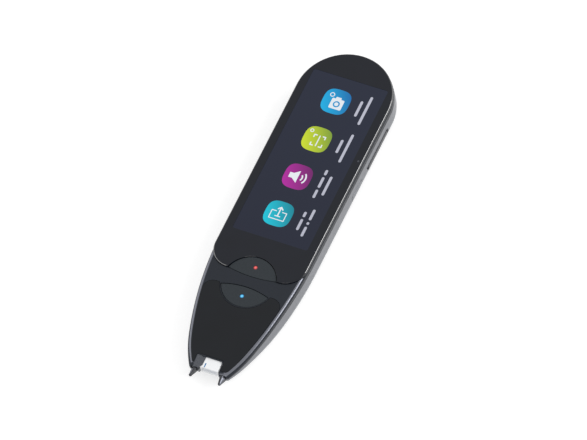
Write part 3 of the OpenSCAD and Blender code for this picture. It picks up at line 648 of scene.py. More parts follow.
satin = coat("satin_coat", shade(38, 42, 49), 0.3, 0.34, change=0.1, shine=0.25)
# Lighter metallic coat for the shoulders and the prongs' slants, partly a painted highlight.
shoulder_coat_and_painted_highlight = coat("shoulder_coat_and_painted_highlight", shade(110, 112, 120), 0.85, 0.26, change=0.05, peel=0.001)
foot_levels = [seam_level(0.35, 0), seam_level(0.04, 0.18), seam_level(0, 0.3)]
face = stack("front_shell", foot_levels + [shoulder_level(t) for t in range(0, 91, 10)])
lip_inset = cover_wall + lip_gap
lip = stack("lip", [seam_level(lip_inset, -lip_drop), seam_level(lip_inset, 0.4)])
joined(face, without_nose(lip), "UNION")
hollow_levels = [seam_level(frame_wall, -3), lambda y: (frame_wall, cap_at(y) - face_t)]
hollow = without_nose(stack("hollow", hollow_levels))
bay_y = (display_y[0] - display_wall, beyond_y[1])
cut(hollow, block(beyond_x, bay_y, (display_floor, beyond_z[1])))
joined(face, hollow, "DIFFERENCE")
pocket_x = (-display_half - display_gap, display_half + display_gap)
pocket_y = (display_y[0] - display_gap, display_y[1] + display_gap)
cut(face, prism(rounded_box(pocket_x, pocket_y, display_corner), display_seat, beyond_z[1]))
cut(face, block(flex_x, flex_y, flex_z))
corners = [p for p in glass_outline(glass_gap) if p[1] <= glass_y + glass_corner_r + 0.01]
right_corner = [p for p in corners if p[0] > 0]
left_corner = [p for p in corners if p[0] < 0]
past_x = 21
above = [(past_x, right_corner[-1][1]), (past_x, beyond_y[1])]
above += [(-past_x, beyond_y[1]), (-past_x, left_corner[0][1])]
cut(face, prism(right_corner + above + left_corner, ledge_z, beyond_z[1]))
panel_pocket = in_scene(
    "panel_pocket",
    draped(grown(panel_outline(), panel_gap), [(0, under_cap(panel_t)), (0, under_cap(-2))]),
)
cut(panel_pocket, prism(notch_outline(panel_lip - panel_gap, -cheek_x[0]), *beyond_z))
joined(face, panel_pocket, "DIFFERENCE")
for outline in (upper_outline(button_gap), lower_outline(button_gap)):
    cut(face, prism(outline, board_top + 1, beyond_z[1]))
notch_levels = [(0, lambda y: low_z), (0, under_cap(0.3)), (0.06, under_cap(0.1))]
notch_levels += [(0.2, under_cap(-0.01)), (0.2, under_cap(-1))]
cut(face, draped(notch_outline(0), notch_levels))
for x, z in nose_passages:
    cut(face, block(x, passage_y, z))
cheek_cut_x = (cheek_x[0], cheek_lap - notch_half)
cut(face, block(cheek_cut_x, (beyond_y[0], notch_y), (cheek_z - cheek_gap, beyond_z[1])))
dressed(face, satin)
# The lighter metallic coat on the shoulder rows that catch the lamps is partly a painted highlight. The
# narrower left band paints shade on that side.
face.data.materials.append(shoulder_coat_and_painted_highlight)
for polygon in face.data.polygons:
    x, y, z = polygon.center / mm
    reach = half_w if y > taper_y else half_at(y, 0)
    inset = half_w - math.hypot(x, y - end_y) if y > end_y else reach - abs(x)
    first, last = right_rows if x > 0 else left_painted_shade_rows
    in_rows = first < (cap_at(y) - z) / shoulder_h < last
    past_left_painted_shade = x > 0 or y > left_painted_shade_y
    if in_rows and past_left_painted_shade and inset < shoulder_at(y) and polygon.normal.z > 0.4:
        polygon.material_index = 1
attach(face, "housing")
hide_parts("front_frame")

# Rest pads
# Four small round pads of soft rubber, glued in shallow seats, which the pen lies on.
# Their faces are matte and slightly worn where they rub.


def plain(name, colour, roughness, spot=0.4, depth=0.006, change=0.1, metal=0.0, shine=0.5):
    """A moulded or cut material with a fine surface and larger spots in gloss and colour."""
    spots = (spot * 6, spot * 3, spot)
    return mottled(name, colour, change, roughness, 0.05, metal, shine, spots, 2.0, depth)


def refinish(skin, *names):
    """Gives carried-over nodes their own finish."""
    for name in names:
        slots = nodes[name].data.materials
        for i in range(len(slots)):
            slots[i] = skin
        if not slots:
            slots.append(skin)
        nodes[name].data.shade_smooth()
        nodes[name].data.set_sharp_from_angle(angle=math.radians(30))


rim_cut = 0.06
pads = bmesh.new()
for place in pad_places:
    turned([(pad_r, pad_top), (pad_r, rim_cut), (pad_r - rim_cut, 0)], place, 48, pads)
dressed(in_scene("rubber_pads", pads), plain("soft_rubber", shade(38, 38, 40), 0.8, 0.15, 0.01))
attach(bpy.data.objects["rubber_pads"], "housing")
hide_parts("rest_pads")

# Battery
# A flat pouch cell in silver film, held by white double-sided tape, with a copper lead on a flex
# to its plug on the board.
refinish(plain("cell_film", shade(196, 198, 202), 0.3, 1.5, 0.02, 0.05, 0.8), "battery")
refinish(plain("white_tape", shade(225, 225, 220), 0.7), "battery_tape")
amber = plain("amber_flex", shade(190, 128, 52), 0.42, 0.3, 0.004, 0.18)
refinish(amber, "battery_lead")

# Speaker, camera and microphone
# A sealed speaker box on a foam gasket behind the grille, a camera in a black case behind its
# window, and a small metal microphone at the socket.
foam = plain("black_foam", shade(40, 40, 42), 0.95, 0.25, 0.05)
case_black = plain("case_black", shade(36, 36, 38), 0.5)
refinish(foam, "speaker_gasket")
refinish(case_black, "speaker", "rear_camera")
steel = plain("pressed_steel", shade(190, 192, 196), 0.28, 0.8, 0.003, 0.05, 1.0)
refinish(steel, "microphone")


def smooth(name, dark, light, spot, gloss, gloss_spot, detail=2.0, **values):
    """A smooth finish whose colour and roughness drift a little, with its grains' spots."""
    skin = new_finish(name)
    feed(
        skin,
        Base_Color=blended(skin, grain(skin, spot), dark, light),
        Roughness=ranged(skin, grain(skin, gloss_spot, detail), *gloss),
        **values,
    )
    return skin


eye_profile = [(1.35, 1.7), (1.35, 1.35), (1.2, 1.2), (0.9, 1.08), (0.5, 1.01), (0.1, 0.99)]
eye_lens = in_scene("camera_lens", turned(eye_profile, camera_c, 40))
lens_glass = smooth(
    "lens_glass", shade(12, 14, 26), shade(20, 22, 44), 1.5, (0.03, 0.06), 0.5, Coat_Weight=1
)
dressed(eye_lens, lens_glass, 50)
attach(eye_lens, "housing")

pane = [(window_r, seat_z), (window_r, back_z + rim_cut), (window_r - rim_cut, back_z)]
pane += [(2.5, back_z), (0.5, back_z)]
window = in_scene("camera_window", turned(pane, camera_c, 72))
tint = shade(120, 124, 132)
smoked = smooth(
    "smoked_glass", tint, [c * 1.02 for c in tint], 8, (0.01, 0.03), 3, Transmission_Weight=1, IOR=1.5
)
dressed(window, smoked, 50)
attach(window, "housing")
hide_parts("rear_camera_window")
mask_r = window_r - 0.1
iris_r = 2.3
mask = turned([(mask_r, seat_z - 0.01), (mask_r, seat_z - 0.04)], camera_c, 72)
camera_mask = in_scene("camera_mask", mask)
cut(camera_mask, turned([(iris_r, low_z), (iris_r, inside_z)], camera_c))
dressed(camera_mask, plain("black_ink", shade(14, 14, 15), 0.6, 0.2, 0.002))
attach(camera_mask, "housing")

# Socket
# A steel charging socket on its own small board, linked to the main board by a flat flex that runs
# over the battery.
board_green = plain("board_green", shade(26, 88, 62), 0.4, 0.8, 0.01, 0.15)
refinish(steel, "usb_socket")
refinish(board_green, "usb_board")
refinish(amber, "board_link_flex")

# Side keys
# Two keys in slots of the right wall: a long dark one that rocks on a round pivot, and a short one
# in the wall's coat. Both have a flange inside the wall and press switches on an upright board.
dark_plastic = plain("dark_plastic", shade(44, 46, 52), 0.24, 0.12, 0.002)
key_rim_r = 0.16
key_flange_l = 0.8
key_flange_w = 0.6
knob_half = 0.6
knob = (-knob_half, knob_half)
knob_y = 6
pivot_r = 0.6
pivot_x = 16.7
ridge_inset = 0.65


def key_body(name, length, root, tip, flange, extras):
    """A key from root to tip along x, with a rounded rim, a flange and what presses the switches."""
    levels = [(root, 0)]
    for a in (0, 0.4, 0.8, 1.2, math.pi / 2):
        levels.append((tip - key_rim_r * (1 - math.sin(a)), key_rim_r * (1 - math.cos(a))))
    rings = []
    for x, inset in levels:
        rings.append([(u, v, x) for u, v in bar(length - 2 * inset, key_w - 2 * inset)])
    made = in_scene(name, laid(solid(rings), "x"))
    add(made, laid(prism(bar(length + 2 * key_flange_l, key_w + 2 * key_flange_w), *flange), "x"))
    for extra in extras:
        add(made, extra)
    return made


pivot = turned([(pivot_r, -0.9), (pivot_r, 0.9)], (pivot_x, 0), 40)
knobs = [block((16.4, 16.8), (y - knob_half, y + knob_half), knob) for y in (-knob_y, knob_y)]
volume = key_body("volume_rocker", volume_l, 16.75, 19.3, (16.7, 17.4), [pivot] + knobs)
for y in (ridge_inset - volume_l / 2, volume_l / 2 - ridge_inset):
    ridge = laid(turned([(0.5, 19.2), (0.5, 19.38), (0.36, 19.45)], (y, 0), 24), "x")
    add(volume, ridge)
volume.data.transform(Matrix.Translation((0, volume_y, key_z)))
dressed(volume, dark_plastic)
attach(volume, "volume_key")
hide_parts("volume_key")

power_knob = block((16.5, 17.1), knob, knob)
power = key_body("power_button", power_l, 17.0, 19.22, (16.95, 17.65), [power_knob])
power.data.transform(Matrix.Translation((0, power_y, key_z)))
dressed(power, gunmetal)
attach(power, "power_key")
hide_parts("power_key")
refinish(board_green, "side_key_board")
refinish(steel, "side_key_switches")
refinish(amber, "side_key_flex")

# Scanning head
# A white plastic hood with a blue index line stands in the notch. Behind its clear window sit two
# lamps, a lens and the camera on a small board.
hood_wall = 0.85
mouth_y = -68.1
head_y = -59.9
mark_x = (-2.11, -1.69)
mark_y = (mouth_y + 0.26, mouth_y + 2.01)
mark_z = (hood_z[1] - 0.15, hood_z[1] + 0.003)
mark_gap = 0.01
white = smooth(
    "white_plastic", shade(240, 241, 243), shade(246, 247, 249), 2.5, (0.36, 0.46), 0.8
)
raised(white, grain(white, 0.12), 0.003)


def tube_along(name, rings):
    """A solid along the body, from outlines in x and z and their y, or a sleeve if the ends meet."""
    bm = bmesh.new()
    rows = [[bm.verts.new((x, y, z)) for x, z in outline] for outline, y in rings]
    walls(bm, rows)
    if rings[0] == rings[-1]:
        bmesh.ops.remove_doubles(bm, verts=bm.verts, dist=1e-5)
    else:
        bm.faces.new(rows[0][::-1])
        bm.faces.new(rows[-1])
    return in_scene(name, bm)


def hood_ring(inset, r):
    return rounded_box((inset - hood_x, hood_x - inset), (hood_z[0] + inset, hood_z[1] - inset), r)


outer = [(0, 0.6, head_y), (0, 0.6, mouth_y + 0.25)]
outer += [(0.07, 0.55, mouth_y + 0.07), (0.25, 0.4, mouth_y)]
inner = [(hood_wall - 0.25, 0.3, mouth_y), (hood_wall - 0.07, 0.3, mouth_y + 0.07)]
inner += [(hood_wall, 0.3, mouth_y + 0.25), (hood_wall, 0.3, head_y)]
hood_rings = [(hood_ring(inset, r), y) for inset, r, y in outer + inner]
hood = tube_along("hood", hood_rings + hood_rings[:1])
groove_x = (mark_x[0] - mark_gap, mark_x[1] + mark_gap)
groove_y = (beyond_y[0], mark_y[1] + mark_gap)
cut(hood, block(groove_x, groove_y, (mark_z[0], beyond_z[1])))
dressed(hood, white)
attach(hood, "housing")
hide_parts("scan_hood")
mark = in_scene("index_line", prism(rounded_box(mark_x, mark_y, 0.1, 4), *mark_z))
dressed(mark, plain("blue_ink", shade(58, 122, 172), 0.4, 0.1, 0.002))
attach(mark, "housing")
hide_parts("index_mark")
refinish(plain("frosted_window", shade(216, 220, 226), 0.4, 0.3, 0.003, 0.03), "scan_window")
refinish(board_green, "scan_board")
refinish(plain("lamp_resin", shade(235, 230, 205), 0.3), "scan_lamps")
refinish(case_black, "scan_camera")
refinish(lens_glass, "scan_lens")
refinish(amber, "scan_flex")

# Guide fork
# A sliding part in dark plastic whose two prongs guide the nose along a line of print. Behind the
# nose a bar joins its arms and presses two springs. A fixed cheek beside the hood covers one arm.
# The prongs' outer upper slants carry the lighter metallic coat as a painted highlight.
prong_slant = 1.0
prong_root = nose_y + 0.3
prong_reach = 3.35
prong_end = -51.5
tip_y = -72.5
tip_r = 0.65
spring_bar_y = (-53.3, prong_end - 0.02)
spring_bar_z = (prong_z[0], 6.5)
stop_x = (6, 8)
stop_y = (-57.9, -56.5)
stop_z = (prong_z[0] + 0.02, prong_z[1] - 0.02)


def prong_ring(y, half, low, high, r, slant=0.0):
    """A prong's section with rounded corners and a slanted face on its outer upper edge."""
    r = min(r, half * 0.98, (high - low) * 0.49)
    slant = max(0, min(slant, 2 * (half - r)))
    box = rounded_box((prong_x - half, prong_x + half), (low, high), r, 5)
    low_part = [(x, z - slant) for x, z in box[6:9]]
    high_part = [(x - slant, z) for x, z in box[9:12]]
    return box[:6] + low_part + high_part + box[12:], y


def prong_size(t):
    """Half width, lower and upper side at a share of the way from the root to the tip."""
    return prong_half - 0.5 * t, prong_z[0] + 1.35 * t ** 1.3, prong_z[1] - 0.1 * t


prong_rings = [
    prong_ring(prong_end, prong_half, *prong_z, 0.25),
    prong_ring(prong_root + 0.15, prong_half, *prong_z, 0.25),
    prong_ring(prong_root, prong_half, *prong_z, 0.3, prong_slant),
]
for i in range(1, 9):
    t = i / 9
    y = prong_root - prong_reach * t
    slant = prong_slant * (1 - 0.85 * t)
    prong_rings.append(prong_ring(y, *prong_size(t), 0.3 + 0.3 * t, slant))
half, low, high = prong_size(1)
middle = (low + high) / 2
tall = (high - low) / 2
for degrees in (0, 25, 45, 62, 76):
    s, c = math.sin(math.radians(degrees)), math.cos(math.radians(degrees))
    y = tip_y + tip_r * (1 - s)
    prong_rings.append(prong_ring(y, half * c, middle - tall * c, middle + tall * c, 0.6 * c + 0.02))
fork = tube_along("fork", prong_rings)
left_prong = tube_along("left_prong", [([(-x, z) for x, z in ring], y) for ring, y in prong_rings])
add(fork, block((-prong_x, prong_x), spring_bar_y, spring_bar_z))
joined(fork, left_prong, "UNION")
for x in ((-stop_x[1], -stop_x[0]), stop_x):
    add(fork, block(x, stop_y, stop_z))
dressed(fork, dark_plastic)
# The lighter metallic coat on the prongs' outward, upward slants is a painted highlight on the dark
# plastic.
fork.data.materials.append(shoulder_coat_and_painted_highlight)
for polygon in fork.data.polygons:
    x, y = polygon.center.xy / mm
    outwards = polygon.normal.x * x > 0.3 * abs(x)
    if outwards and 0.25 < polygon.normal.z < 0.95 and tip_y + 0.5 < y < prong_root + 0.1:
        polygon.material_index = 1
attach(fork, "guide_fork")
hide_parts("guide_fork")


def cheek_outline(y, right):
    """The cheek's section, which steps over the hood and ends at its right side."""
    left = cheek_x[0] + 0.03
    step_x = min(-hood_x - cheek_gap, right)
    over = hood_z[1] + 0.02
    foot = [(left, cheek_z), (step_x, cheek_z), (step_x, over), (right, over)]
    return foot + [(right, over + 0.06), (left, cap_at(y) - 0.03)]


cheek_ends = [(-68.6, -4.2), (-68.1, -3.4), (-67.4, cheek_x[1])]
cheek_ends += [(y, cheek_x[1]) for y in (-66.5, -65.6, -64.7, notch_y - 0.03)]
cheek = tube_along("nose_cheek", [(cheek_outline(y, right), y) for y, right in cheek_ends])
dressed(cheek, plain("cheek_grey", shade(70, 73, 80), 0.3, 0.12, 0.002))
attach(cheek, "housing")
refinish(steel, "fork_springs")
refinish(case_black, "fork_switch")

# Main board
# The board of the pen with its processor under a pressed shield, small parts and six screws into
# the frame's bosses.
refinish(board_green, "main_board")
refinish(plain("chip_resin", shade(34, 34, 36), 0.55, 0.2), "processor", "board_parts")
refinish(plain("tinned_shield", shade(170, 172, 174), 0.35, 1.2, 0.006, 0.06, 1.0), "shield_can")
refinish(steel, "board_screws")
refinish(plain("led_resin", shade(240, 232, 200), 0.3), "indicator_leds")
refinish(steel, "button_switches")
refinish(amber, "antenna", "display_flex")

# Buttons
# Two press buttons cut from one circle, in fine-grained dark plastic, each with a lens over its
# light: red above, blue below. A flange under the face keeps each in.
button_grain = plain("button_grain", shade(37, 43, 48), 0.5, 0.1, 0.006, 0.08, shine=0.3)
switch_x = 4.2
stem_r = 1.5
stem_z = 8.65
upper_head_z = 12.25
upper_tilt = 0.045
lower_sink = 0.15
flange_w = 0.8
flange_t = 0.7
flange_gap = 0.08
bore_r = 0.8
lens_r = bore_r - 0.01


def upper_top(y):
    return upper_head_z - upper_tilt * max(0, button_y + button_r - y)


def lower_top(y):
    return cap_at(y) - lower_sink


def press_button(name, outline_at, top, flange_z, light_y):
    """A button with a rounded rim, its flange, the stem over its switch and its light's bore."""
    levels = [
        (0, lambda y: flange_z - 0.2),
        (0, lambda y: top(y) - 0.22),
        (-0.02, lambda y: top(y) - 0.1),
        (-0.08, lambda y: top(y) - 0.03),
        (-0.2, top),
    ]
    made = in_scene(name, draped(outline_at(0), levels))
    add(made, prism(outline_at(flange_w), flange_z - flange_t, flange_z))
    stem = [(stem_r, stem_z), (stem_r, flange_z - flange_t / 2)]
    add(made, turned(stem, (switch_x, light_y), 32))
    cut(made, turned([(bore_r, board_top), (bore_r, beyond_z[1])], (0, light_y), 40))
    return dressed(made, button_grain)


upper_flange_z = cap_at(upper_foot - flange_w) - face_t - flange_gap
lower_flange_z = cap_at(button_y - button_r - flange_w) - face_t - flange_gap
red_y = button_y + 6.3
blue_y = button_y - 6.1
upper = press_button("upper_press", upper_outline, upper_top, upper_flange_z, red_y)
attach(upper, "upper_button")
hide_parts("upper_button")
lower = press_button("lower_press", lower_outline, lower_top, lower_flange_z, blue_y)
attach(lower, "lower_button")
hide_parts("lower_button")


glass_shine = 0.3


def shining(skin, colour, spot, gloss, base=(0, 0, 0)):
    """Light that comes from under a smooth surface."""
    feed(
        skin,
        Emission_Color=colour,
        Roughness=ranged(skin, grain(skin, spot), *gloss),
        Base_Color=(*base, 1),
        Specular_IOR_Level=glass_shine,
        Emission_Strength=1,
    )
    return skin


def lit(name, y, rim, glow):
    """A lit plastic lens, brightest in its middle."""
    skin = new_finish(name)
    place = step(skin, "ShaderNodeTexCoord").outputs["Object"]
    flat = step(skin, "ShaderNodeVectorMath", [(0, place), (1, (1, 1, 0))], operation="MULTIPLY")
    links = [(0, flat.outputs["Vector"]), (1, (0, y * mm, 0))]
    away = step(skin, "ShaderNodeVectorMath", links, operation="DISTANCE")
    inner = ranged(skin, away.outputs["Value"], 1, 0, 0.25 * mm, 0.72 * mm)
    base = [c * 0.5 for c in rim]
    return shining(skin, blended(skin, inner, rim, glow), 0.3, (0.2, 0.3), base)


def light_lens(name, y, flange_z, top, skin):
    """The lens in a button's bore, slightly domed over its face."""
    profile = [(lens_r, flange_z - flange_t), (lens_r, top - 0.1), (0.72, top - 0.04)]
    profile += [(0.5, top), (0.25, top + 0.02), (0.05, top + 0.025)]
    return dressed(in_scene(name, turned(profile, (0, y), 40)), skin, 50)


red_glow = lit("red_glow", red_y, shade(120, 36, 40), shade(240, 112, 108))
red = light_lens("red_lens", red_y, upper_flange_z, upper_top(red_y) - 0.05, red_glow)
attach(red, "upper_button")
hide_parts("red_light_window")
blue_glow = lit("blue_glow", blue_y, shade(24, 92, 140), shade(112, 212, 248))
blue = light_lens("blue_lens", blue_y, lower_flange_z, lower_top(blue_y) - 0.05, blue_glow)
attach(blue, "lower_button")
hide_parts("blue_light_window")

# Lower panel
# A thin gloss panel glued into its pocket between the buttons and the nose. It follows the fall
# of the face and its rim is rounded a little.
gloss = smooth(
    "gloss_black", shade(7, 11, 17), shade(12, 17, 24), 9, (0.07, 0.12), 2.5, 4, Specular_IOR_Level=0.27
)
raised(gloss, grain(gloss, 4), 0.0015)
panel_levels = [(0, under_cap(panel_t)), (0, under_cap(0.12)), (-0.04, under_cap(0.03)), (-0.12, cap_at)]
panel = in_scene("gloss_panel", draped(panel_outline(), panel_levels))
cut(panel, prism(notch_outline(panel_lip, -cheek_x[0]), *beyond_z))
dressed(panel, gloss, 15)
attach(panel, "housing")
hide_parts("lower_panel")

# Display
# A dark cell over a backlight tray, bonded to the glass. Its picture shows four rounded tiles with
# plain signs and bars in the place of words, on a deep navy ground, just under the glass's surface.
glass_z = 11.3
glass_top = 12.5
layer_t = 0.012
picture_z = glass_top - 0.08
refinish(plain("backlight_film", shade(215, 220, 228), 0.35), "display_backlight")
refinish(plain("display_black", shade(20, 21, 26), 0.4), "display_panel")


def screen(name, start, stop, along, centre, reach):
    """Light of the display under glass, and the sensor's painted glow, changing evenly from one colour
    to another.
    """
    skin = new_finish(name)
    place = step(skin, "ShaderNodeTexCoord").outputs["Object"]
    dot = step(skin, "ShaderNodeVectorMath", [(0, place), (1, (*along, 0))], operation="DOT_PRODUCT")
    middle = (centre[0] * along[0] + centre[1] * along[1]) * mm
    change = ranged(skin, dot.outputs["Value"], 0, 1, middle - reach * mm, middle + reach * mm)
    return shining(skin, blended(skin, change, start, stop), 5, (0.03, 0.05))


def plate(name, outlines, layer, skin):
    """Thin lit shapes in the window of the glass, one layer above the other."""
    top = picture_z + layer_t * layer
    solids = [prism(outline, top - layer_t * 0.8, top) for outline in outlines]
    made = in_scene(name, solids[0])
    for solid in solids[1:]:
        add(made, solid)
    dressed(made, skin)
    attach(made, "housing")
    return made


lit_x = (-15.4, 15.4)
lit_y = (-12.2, 61.2)
lit_corner = 0.8
ground = screen("navy_light", shade(20, 26, 46), shade(25, 32, 52), (0.3, 0.95), (0, 25), 40)
plate("screen_ground", [rounded_box(lit_x, lit_y, lit_corner)], 0, ground)

tile_x = -1.5
tile_half = 5.35
tile_power = 3.0
tile_steps = 96
tile_slope = (0.9, 0.43)
tiles = [
    (50.6, shade(0, 174, 226), shade(0, 100, 168)),
    (33.15, shade(206, 222, 36), shade(116, 150, 48)),
    (15.9, shade(178, 30, 158), shade(104, 20, 96)),
    (-1.1, shade(0, 196, 218), shade(0, 126, 144)),
]


def on_screen(points, y):
    """Places a sign's points in the middle of its tile."""
    return [(tile_x + u, y + v) for u, v in points]


def tile_outline(y):
    """A square whose sides and corners run into each other in one curve."""
    made = []
    for i in range(tile_steps):
        a = 2 * math.pi * i / tile_steps
        u, v = (math.copysign(abs(w) ** (2 / tile_power), w) for w in (math.cos(a), math.sin(a)))
        made.append((tile_x + tile_half * u, y + tile_half * v))
    return made


def turned_bar(length, width, centre, degrees=0):
    """A bar with round ends about its centre, turned by an angle."""
    a = math.radians(degrees)
    return [
        (centre[0] + u * math.cos(a) - v * math.sin(a), centre[1] + u * math.sin(a) + v * math.cos(a))
        for u, v in bar(length, width, count=8)
    ]


def sector(centre, r, width, start, stop, count=24):
    """A stretch of a ring, from its middle radius and its width."""
    outside = arc(*centre, r + width / 2, start, stop, count)
    inside = arc(*centre, r - width / 2, stop, start, count)
    return outside + inside


tile_reach = tile_half * 1.2
for i, (y, start, stop) in enumerate(tiles):
    light = screen(f"tile_light_{i + 1}", start, stop, tile_slope, (tile_x, y), tile_reach)
    plate(f"tile_{i + 1}", [tile_outline(y)], 1, light)

sign_light = screen("sign_light", shade(232, 236, 240), shade(222, 228, 236), (0, 1), (0, 25), 60)
camera_sign = [
    rounded_box((-1.9, 3.1), (-3.2, 1.3), 0.5, 5),
    rounded_box((-0.6, 1.6), (1.1, 2.1), 0.3, 5),
    sector((-2.5, 2.5), 0.8, 0.35, 0, 359, 40),
]
scan_sign = [turned_bar(4.9, 0.45, (0.7, -0.5), 90)]
for u in (-1, 1):
    for v in (-1, 1):
        scan_sign.append(turned_bar(1.5, 0.5, (0.7 + 1.75 * u, -0.5 + 2.3 * v)))
        scan_sign.append(turned_bar(1.5, 0.5, (0.7 + 2.25 * u, -0.5 + 1.8 * v), 90))
scan_sign.append(sector((-3.2, 3.1), 0.6, 0.35, 0, 359, 40))
voice_sign = [
    rounded_box((-3.4, -1.7), (-1.1, 1.1), 0.2, 4),
    [(-2.0, -1.0), (0.3, -2.7), (0.3, 2.7), (-2.0, 1.0)],
    sector((0.2, 0), 1.7, 0.6, -42, 42),
    sector((0.2, 0), 3.1, 0.6, -42, 42),
]
page_sign = [
    turned_bar(6.3, 0.36, (0, -2.5)),
    turned_bar(2.4, 0.4, (0, -1.1)),
    turned_bar(4.0, 0.5, (0, 0.9), 90),
]
for side in (-1, 1):
    page_sign.append(turned_bar(3.5, 0.36, (3.0 * side, -0.8), 90))
    page_sign.append(turned_bar(2.1, 0.36, (2.1 * side, 0.95)))
    page_sign.append(turned_bar(1.7, 0.5, (0.5 * side, 2.4), -45 * side))
signs = [
    ("camera_sign", camera_sign),
    ("scan_sign", scan_sign),
    ("voice_sign", voice_sign),
    ("page_sign", page_sign),
]
for (name, shapes), tile in zip(signs, tiles):
    plate(name, [on_screen(shape, tile[0]) for shape in shapes], 2, sign_light)
y, start, stop = tiles[0]
sign_eye = (0.6, -1.0)
ring_light = screen("ring_light", start, stop, tile_slope, (tile_x, y), tile_reach)
plate("camera_sign_ring", [on_screen(arc(*sign_eye, 1.35, 0, 350, 35), y)], 3, ring_light)
plate("camera_sign_eye", [on_screen(arc(*sign_eye, 0.8, 0, 345, 23), y)], 4, sign_light)

label_light = screen("label_light", shade(176, 178, 192), shade(186, 188, 202), (0, 1), (0, 25), 60)
label_x = (7.95, 10.7)
label_w = 1.05
word_gap = 0.9
labels = [
    (50.5, [[7.0], [12.8]]),
    (33.15, [[6.0], [12.8]]),
    (15.85, [[3.8, 4.8, 2.4], [8.6]]),
    (-1.1, [[5.0, 2.4], [4.4, 1.2, 4.8]]),
]
label_bars = []
for y, lines in labels:
    for x, words in zip(label_x, lines):
        start = y - (sum(words) + word_gap * (len(words) - 1)) / 2
        for word in words:
            centre_y = start + word / 2
            label_bars.append([(x - v, centre_y + u) for u, v in bar(word, label_w, count=8)])
            start += word + word_gap
plate("label_bars", label_bars, 1, label_light)

# Cover glass
# A sheet of glass with a rounded rim, printed black on its back around the display's window and
# bonded to the ledge by a thin black tape. A small sensor looks through the print; its grey is a painted
# glow.


def glass_ring(inset, z):
    return [(x, y, z) for x, y in glass_outline(-inset)]


edge_w = 0.62
edge_h = 0.45
foot_bevel = 0.12
rim_band = (12.27, 12.45)
rings = [glass_ring(foot_bevel, glass_z), glass_ring(0, glass_z + foot_bevel)]
for degrees in range(0, 91, 15):
    a = math.radians(degrees)
    rings.append(glass_ring(edge_w * (1 - math.cos(a)), glass_top - edge_h * (1 - math.sin(a))))
glass = in_scene("glass_sheet", solid(rings))
near_r = button_r + button_gap
wide_r = near_r + 0.12
button_edge = [(near_r, beyond_z[0]), (near_r, glass_top - 0.1)]
button_edge += [(wide_r, glass_top + 0.01), (wide_r, beyond_z[1])]
cut(glass, turned(button_edge, (0, button_y), 144))
window_z = (picture_z - layer_t, beyond_z[1])
cut(glass, prism(rounded_box(lit_x, lit_y, lit_corner), *window_z))
sensor_c = (17.3, 29.6)
sensor_r = 0.42
well_r = sensor_r + 0.04
cut(glass, turned([(well_r, z) for z in window_z], sensor_c, 36))
dark, light = shade(7, 12, 22), shade(13, 18, 30)
printed = smooth("printed_glass", dark, light, 7, (0.03, 0.05), 3, Specular_IOR_Level=glass_shine)
dark, light = shade(14, 17, 21), shade(22, 26, 31)
polished = smooth("polished_rim", dark, light, 7, (0.08, 0.14), 3, IOR=1.9, Specular_IOR_Level=1)
dressed(glass, printed)
glass.data.materials.append(polished)
for polygon in glass.data.polygons:
    x, y, z = polygon.center / mm
    on_rim = rim_band[0] < z < rim_band[1] and 0.2 < polygon.normal.z < 0.98
    off_buttons = math.hypot(x, y - button_y) > button_r + 0.6
    if on_rim and off_buttons and (x < 0 or y > glass_y + 7):
        polygon.material_index = 1
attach(glass, "housing")
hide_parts("cover_glass")
# The sensor's dark grey is emission, a painted glow, since the sensor gives no light.
sensor = screen("sensor_painted_glow", shade(62, 64, 72), shade(70, 72, 80), (1, 0), (sensor_c[0], 0), 1)
plate("light_sensor", [arc(*sensor_c, sensor_r, 0, 350, 35)], 1, sensor)
refinish(plain("black_tape", shade(18, 18, 19), 0.8, 0.2), "glass_tape")

# Floor and light
# A plain pale floor that keeps the pen's shadow, a white surround, and soft lamps around it.
floor_drop = 0.02
floor_white = 0.68
floor_glow = 0.52
surround_level = 0.65


def seen_directly(owner):
    """One for rays from the camera, a mirror or through glass, and nothing for the rest."""
    path = step(owner, "ShaderNodeLightPath").outputs
    source = path["Is Camera Ray"]
    for other in ("Is Glossy Ray", "Is Transmission Ray"):
        links = [(0, source), (1, path[other])]
        source = step(owner, "ShaderNodeMath", links, operation="MAXIMUM").outputs[0]
    return source


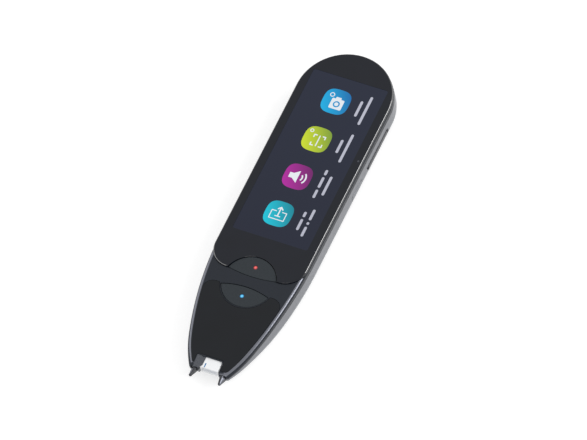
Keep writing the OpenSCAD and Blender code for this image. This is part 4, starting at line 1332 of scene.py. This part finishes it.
floor_mesh = bmesh.new()
under = Matrix.Translation((0, 0, -floor_drop * mm))
bmesh.ops.create_grid(floor_mesh, x_segments=4, y_segments=4, size=8, matrix=under)
floor = in_scene("floor", floor_mesh)
pale = bpy.data.materials.new("pale_floor")
pale.use_nodes = True
pale.node_tree.nodes.clear()
matte = step(pale, "ShaderNodeBsdfDiffuse", [("Color", (floor_white, floor_white, floor_white, 1))])
links = [(0, seen_directly(pale)), (1, floor_glow)]
strength = step(pale, "ShaderNodeMath", links, operation="MULTIPLY")
glow = step(pale, "ShaderNodeEmission", [("Color", (1, 1, 1, 1)), ("Strength", strength.outputs[0])])
both = step(pale, "ShaderNodeAddShader", [(0, matte.outputs[0]), (1, glow.outputs[0])])
step(pale, "ShaderNodeOutputMaterial", [("Surface", both.outputs[0])])
floor.data.materials.append(pale)

scene = bpy.context.scene
scene.view_settings.view_transform = "Standard"
surround = bpy.data.worlds.new("surround")
scene.world = surround
surround.use_nodes = True
level = ranged(surround, seen_directly(surround), surround_level, 1, 0, 1)
feed(surround, "Background", Color=(1, 1, 1, 1), Strength=level)


def lamp(name, place, size, power):
    """A soft oblong lamp that points at the middle of the pen, from its width and height."""
    light = bpy.data.lights.new(name, "AREA")
    light.shape = "RECTANGLE"
    light.size, light.size_y = size
    light.energy = power
    made = bpy.data.objects.new(name, light)
    made.location = place
    made.rotation_euler = (-Vector(place)).to_track_quat("-Z", "Y").to_euler()
    scene.collection.objects.link(made)


lamp("right_lamp", (1.05, 0.5, 0.91), (1.2, 0.5), 9.5)
lamp("left_lamp", (-1.2, 0.1, 0.7), (0.9, 0.6), 1.2)
lamp("front_lamp", (0.2, -1.3, 0.9), (0.8, 0.6), 4)

# Camera
# It looks at the pen from above and from its lower right, from three metres away.
camera_turn = Euler([math.radians(a) for a in (31.5709, 8.9064, 24.7365)]).to_matrix()
camera_place = Vector((1.8342, 3.6447, 3000)) * mm
lens_per_width = 13.7692
view = bpy.data.cameras.new("camera")
view.sensor_width = 36
view.lens = lens_per_width * view.sensor_width
view.clip_end = 30
eye = bpy.data.objects.new("camera", view)
scene.collection.objects.link(eye)
eye.matrix_world = Matrix.Translation(camera_turn @ camera_place) @ camera_turn.to_4x4()
scene.camera = eye

bpy.context.view_layer.update()
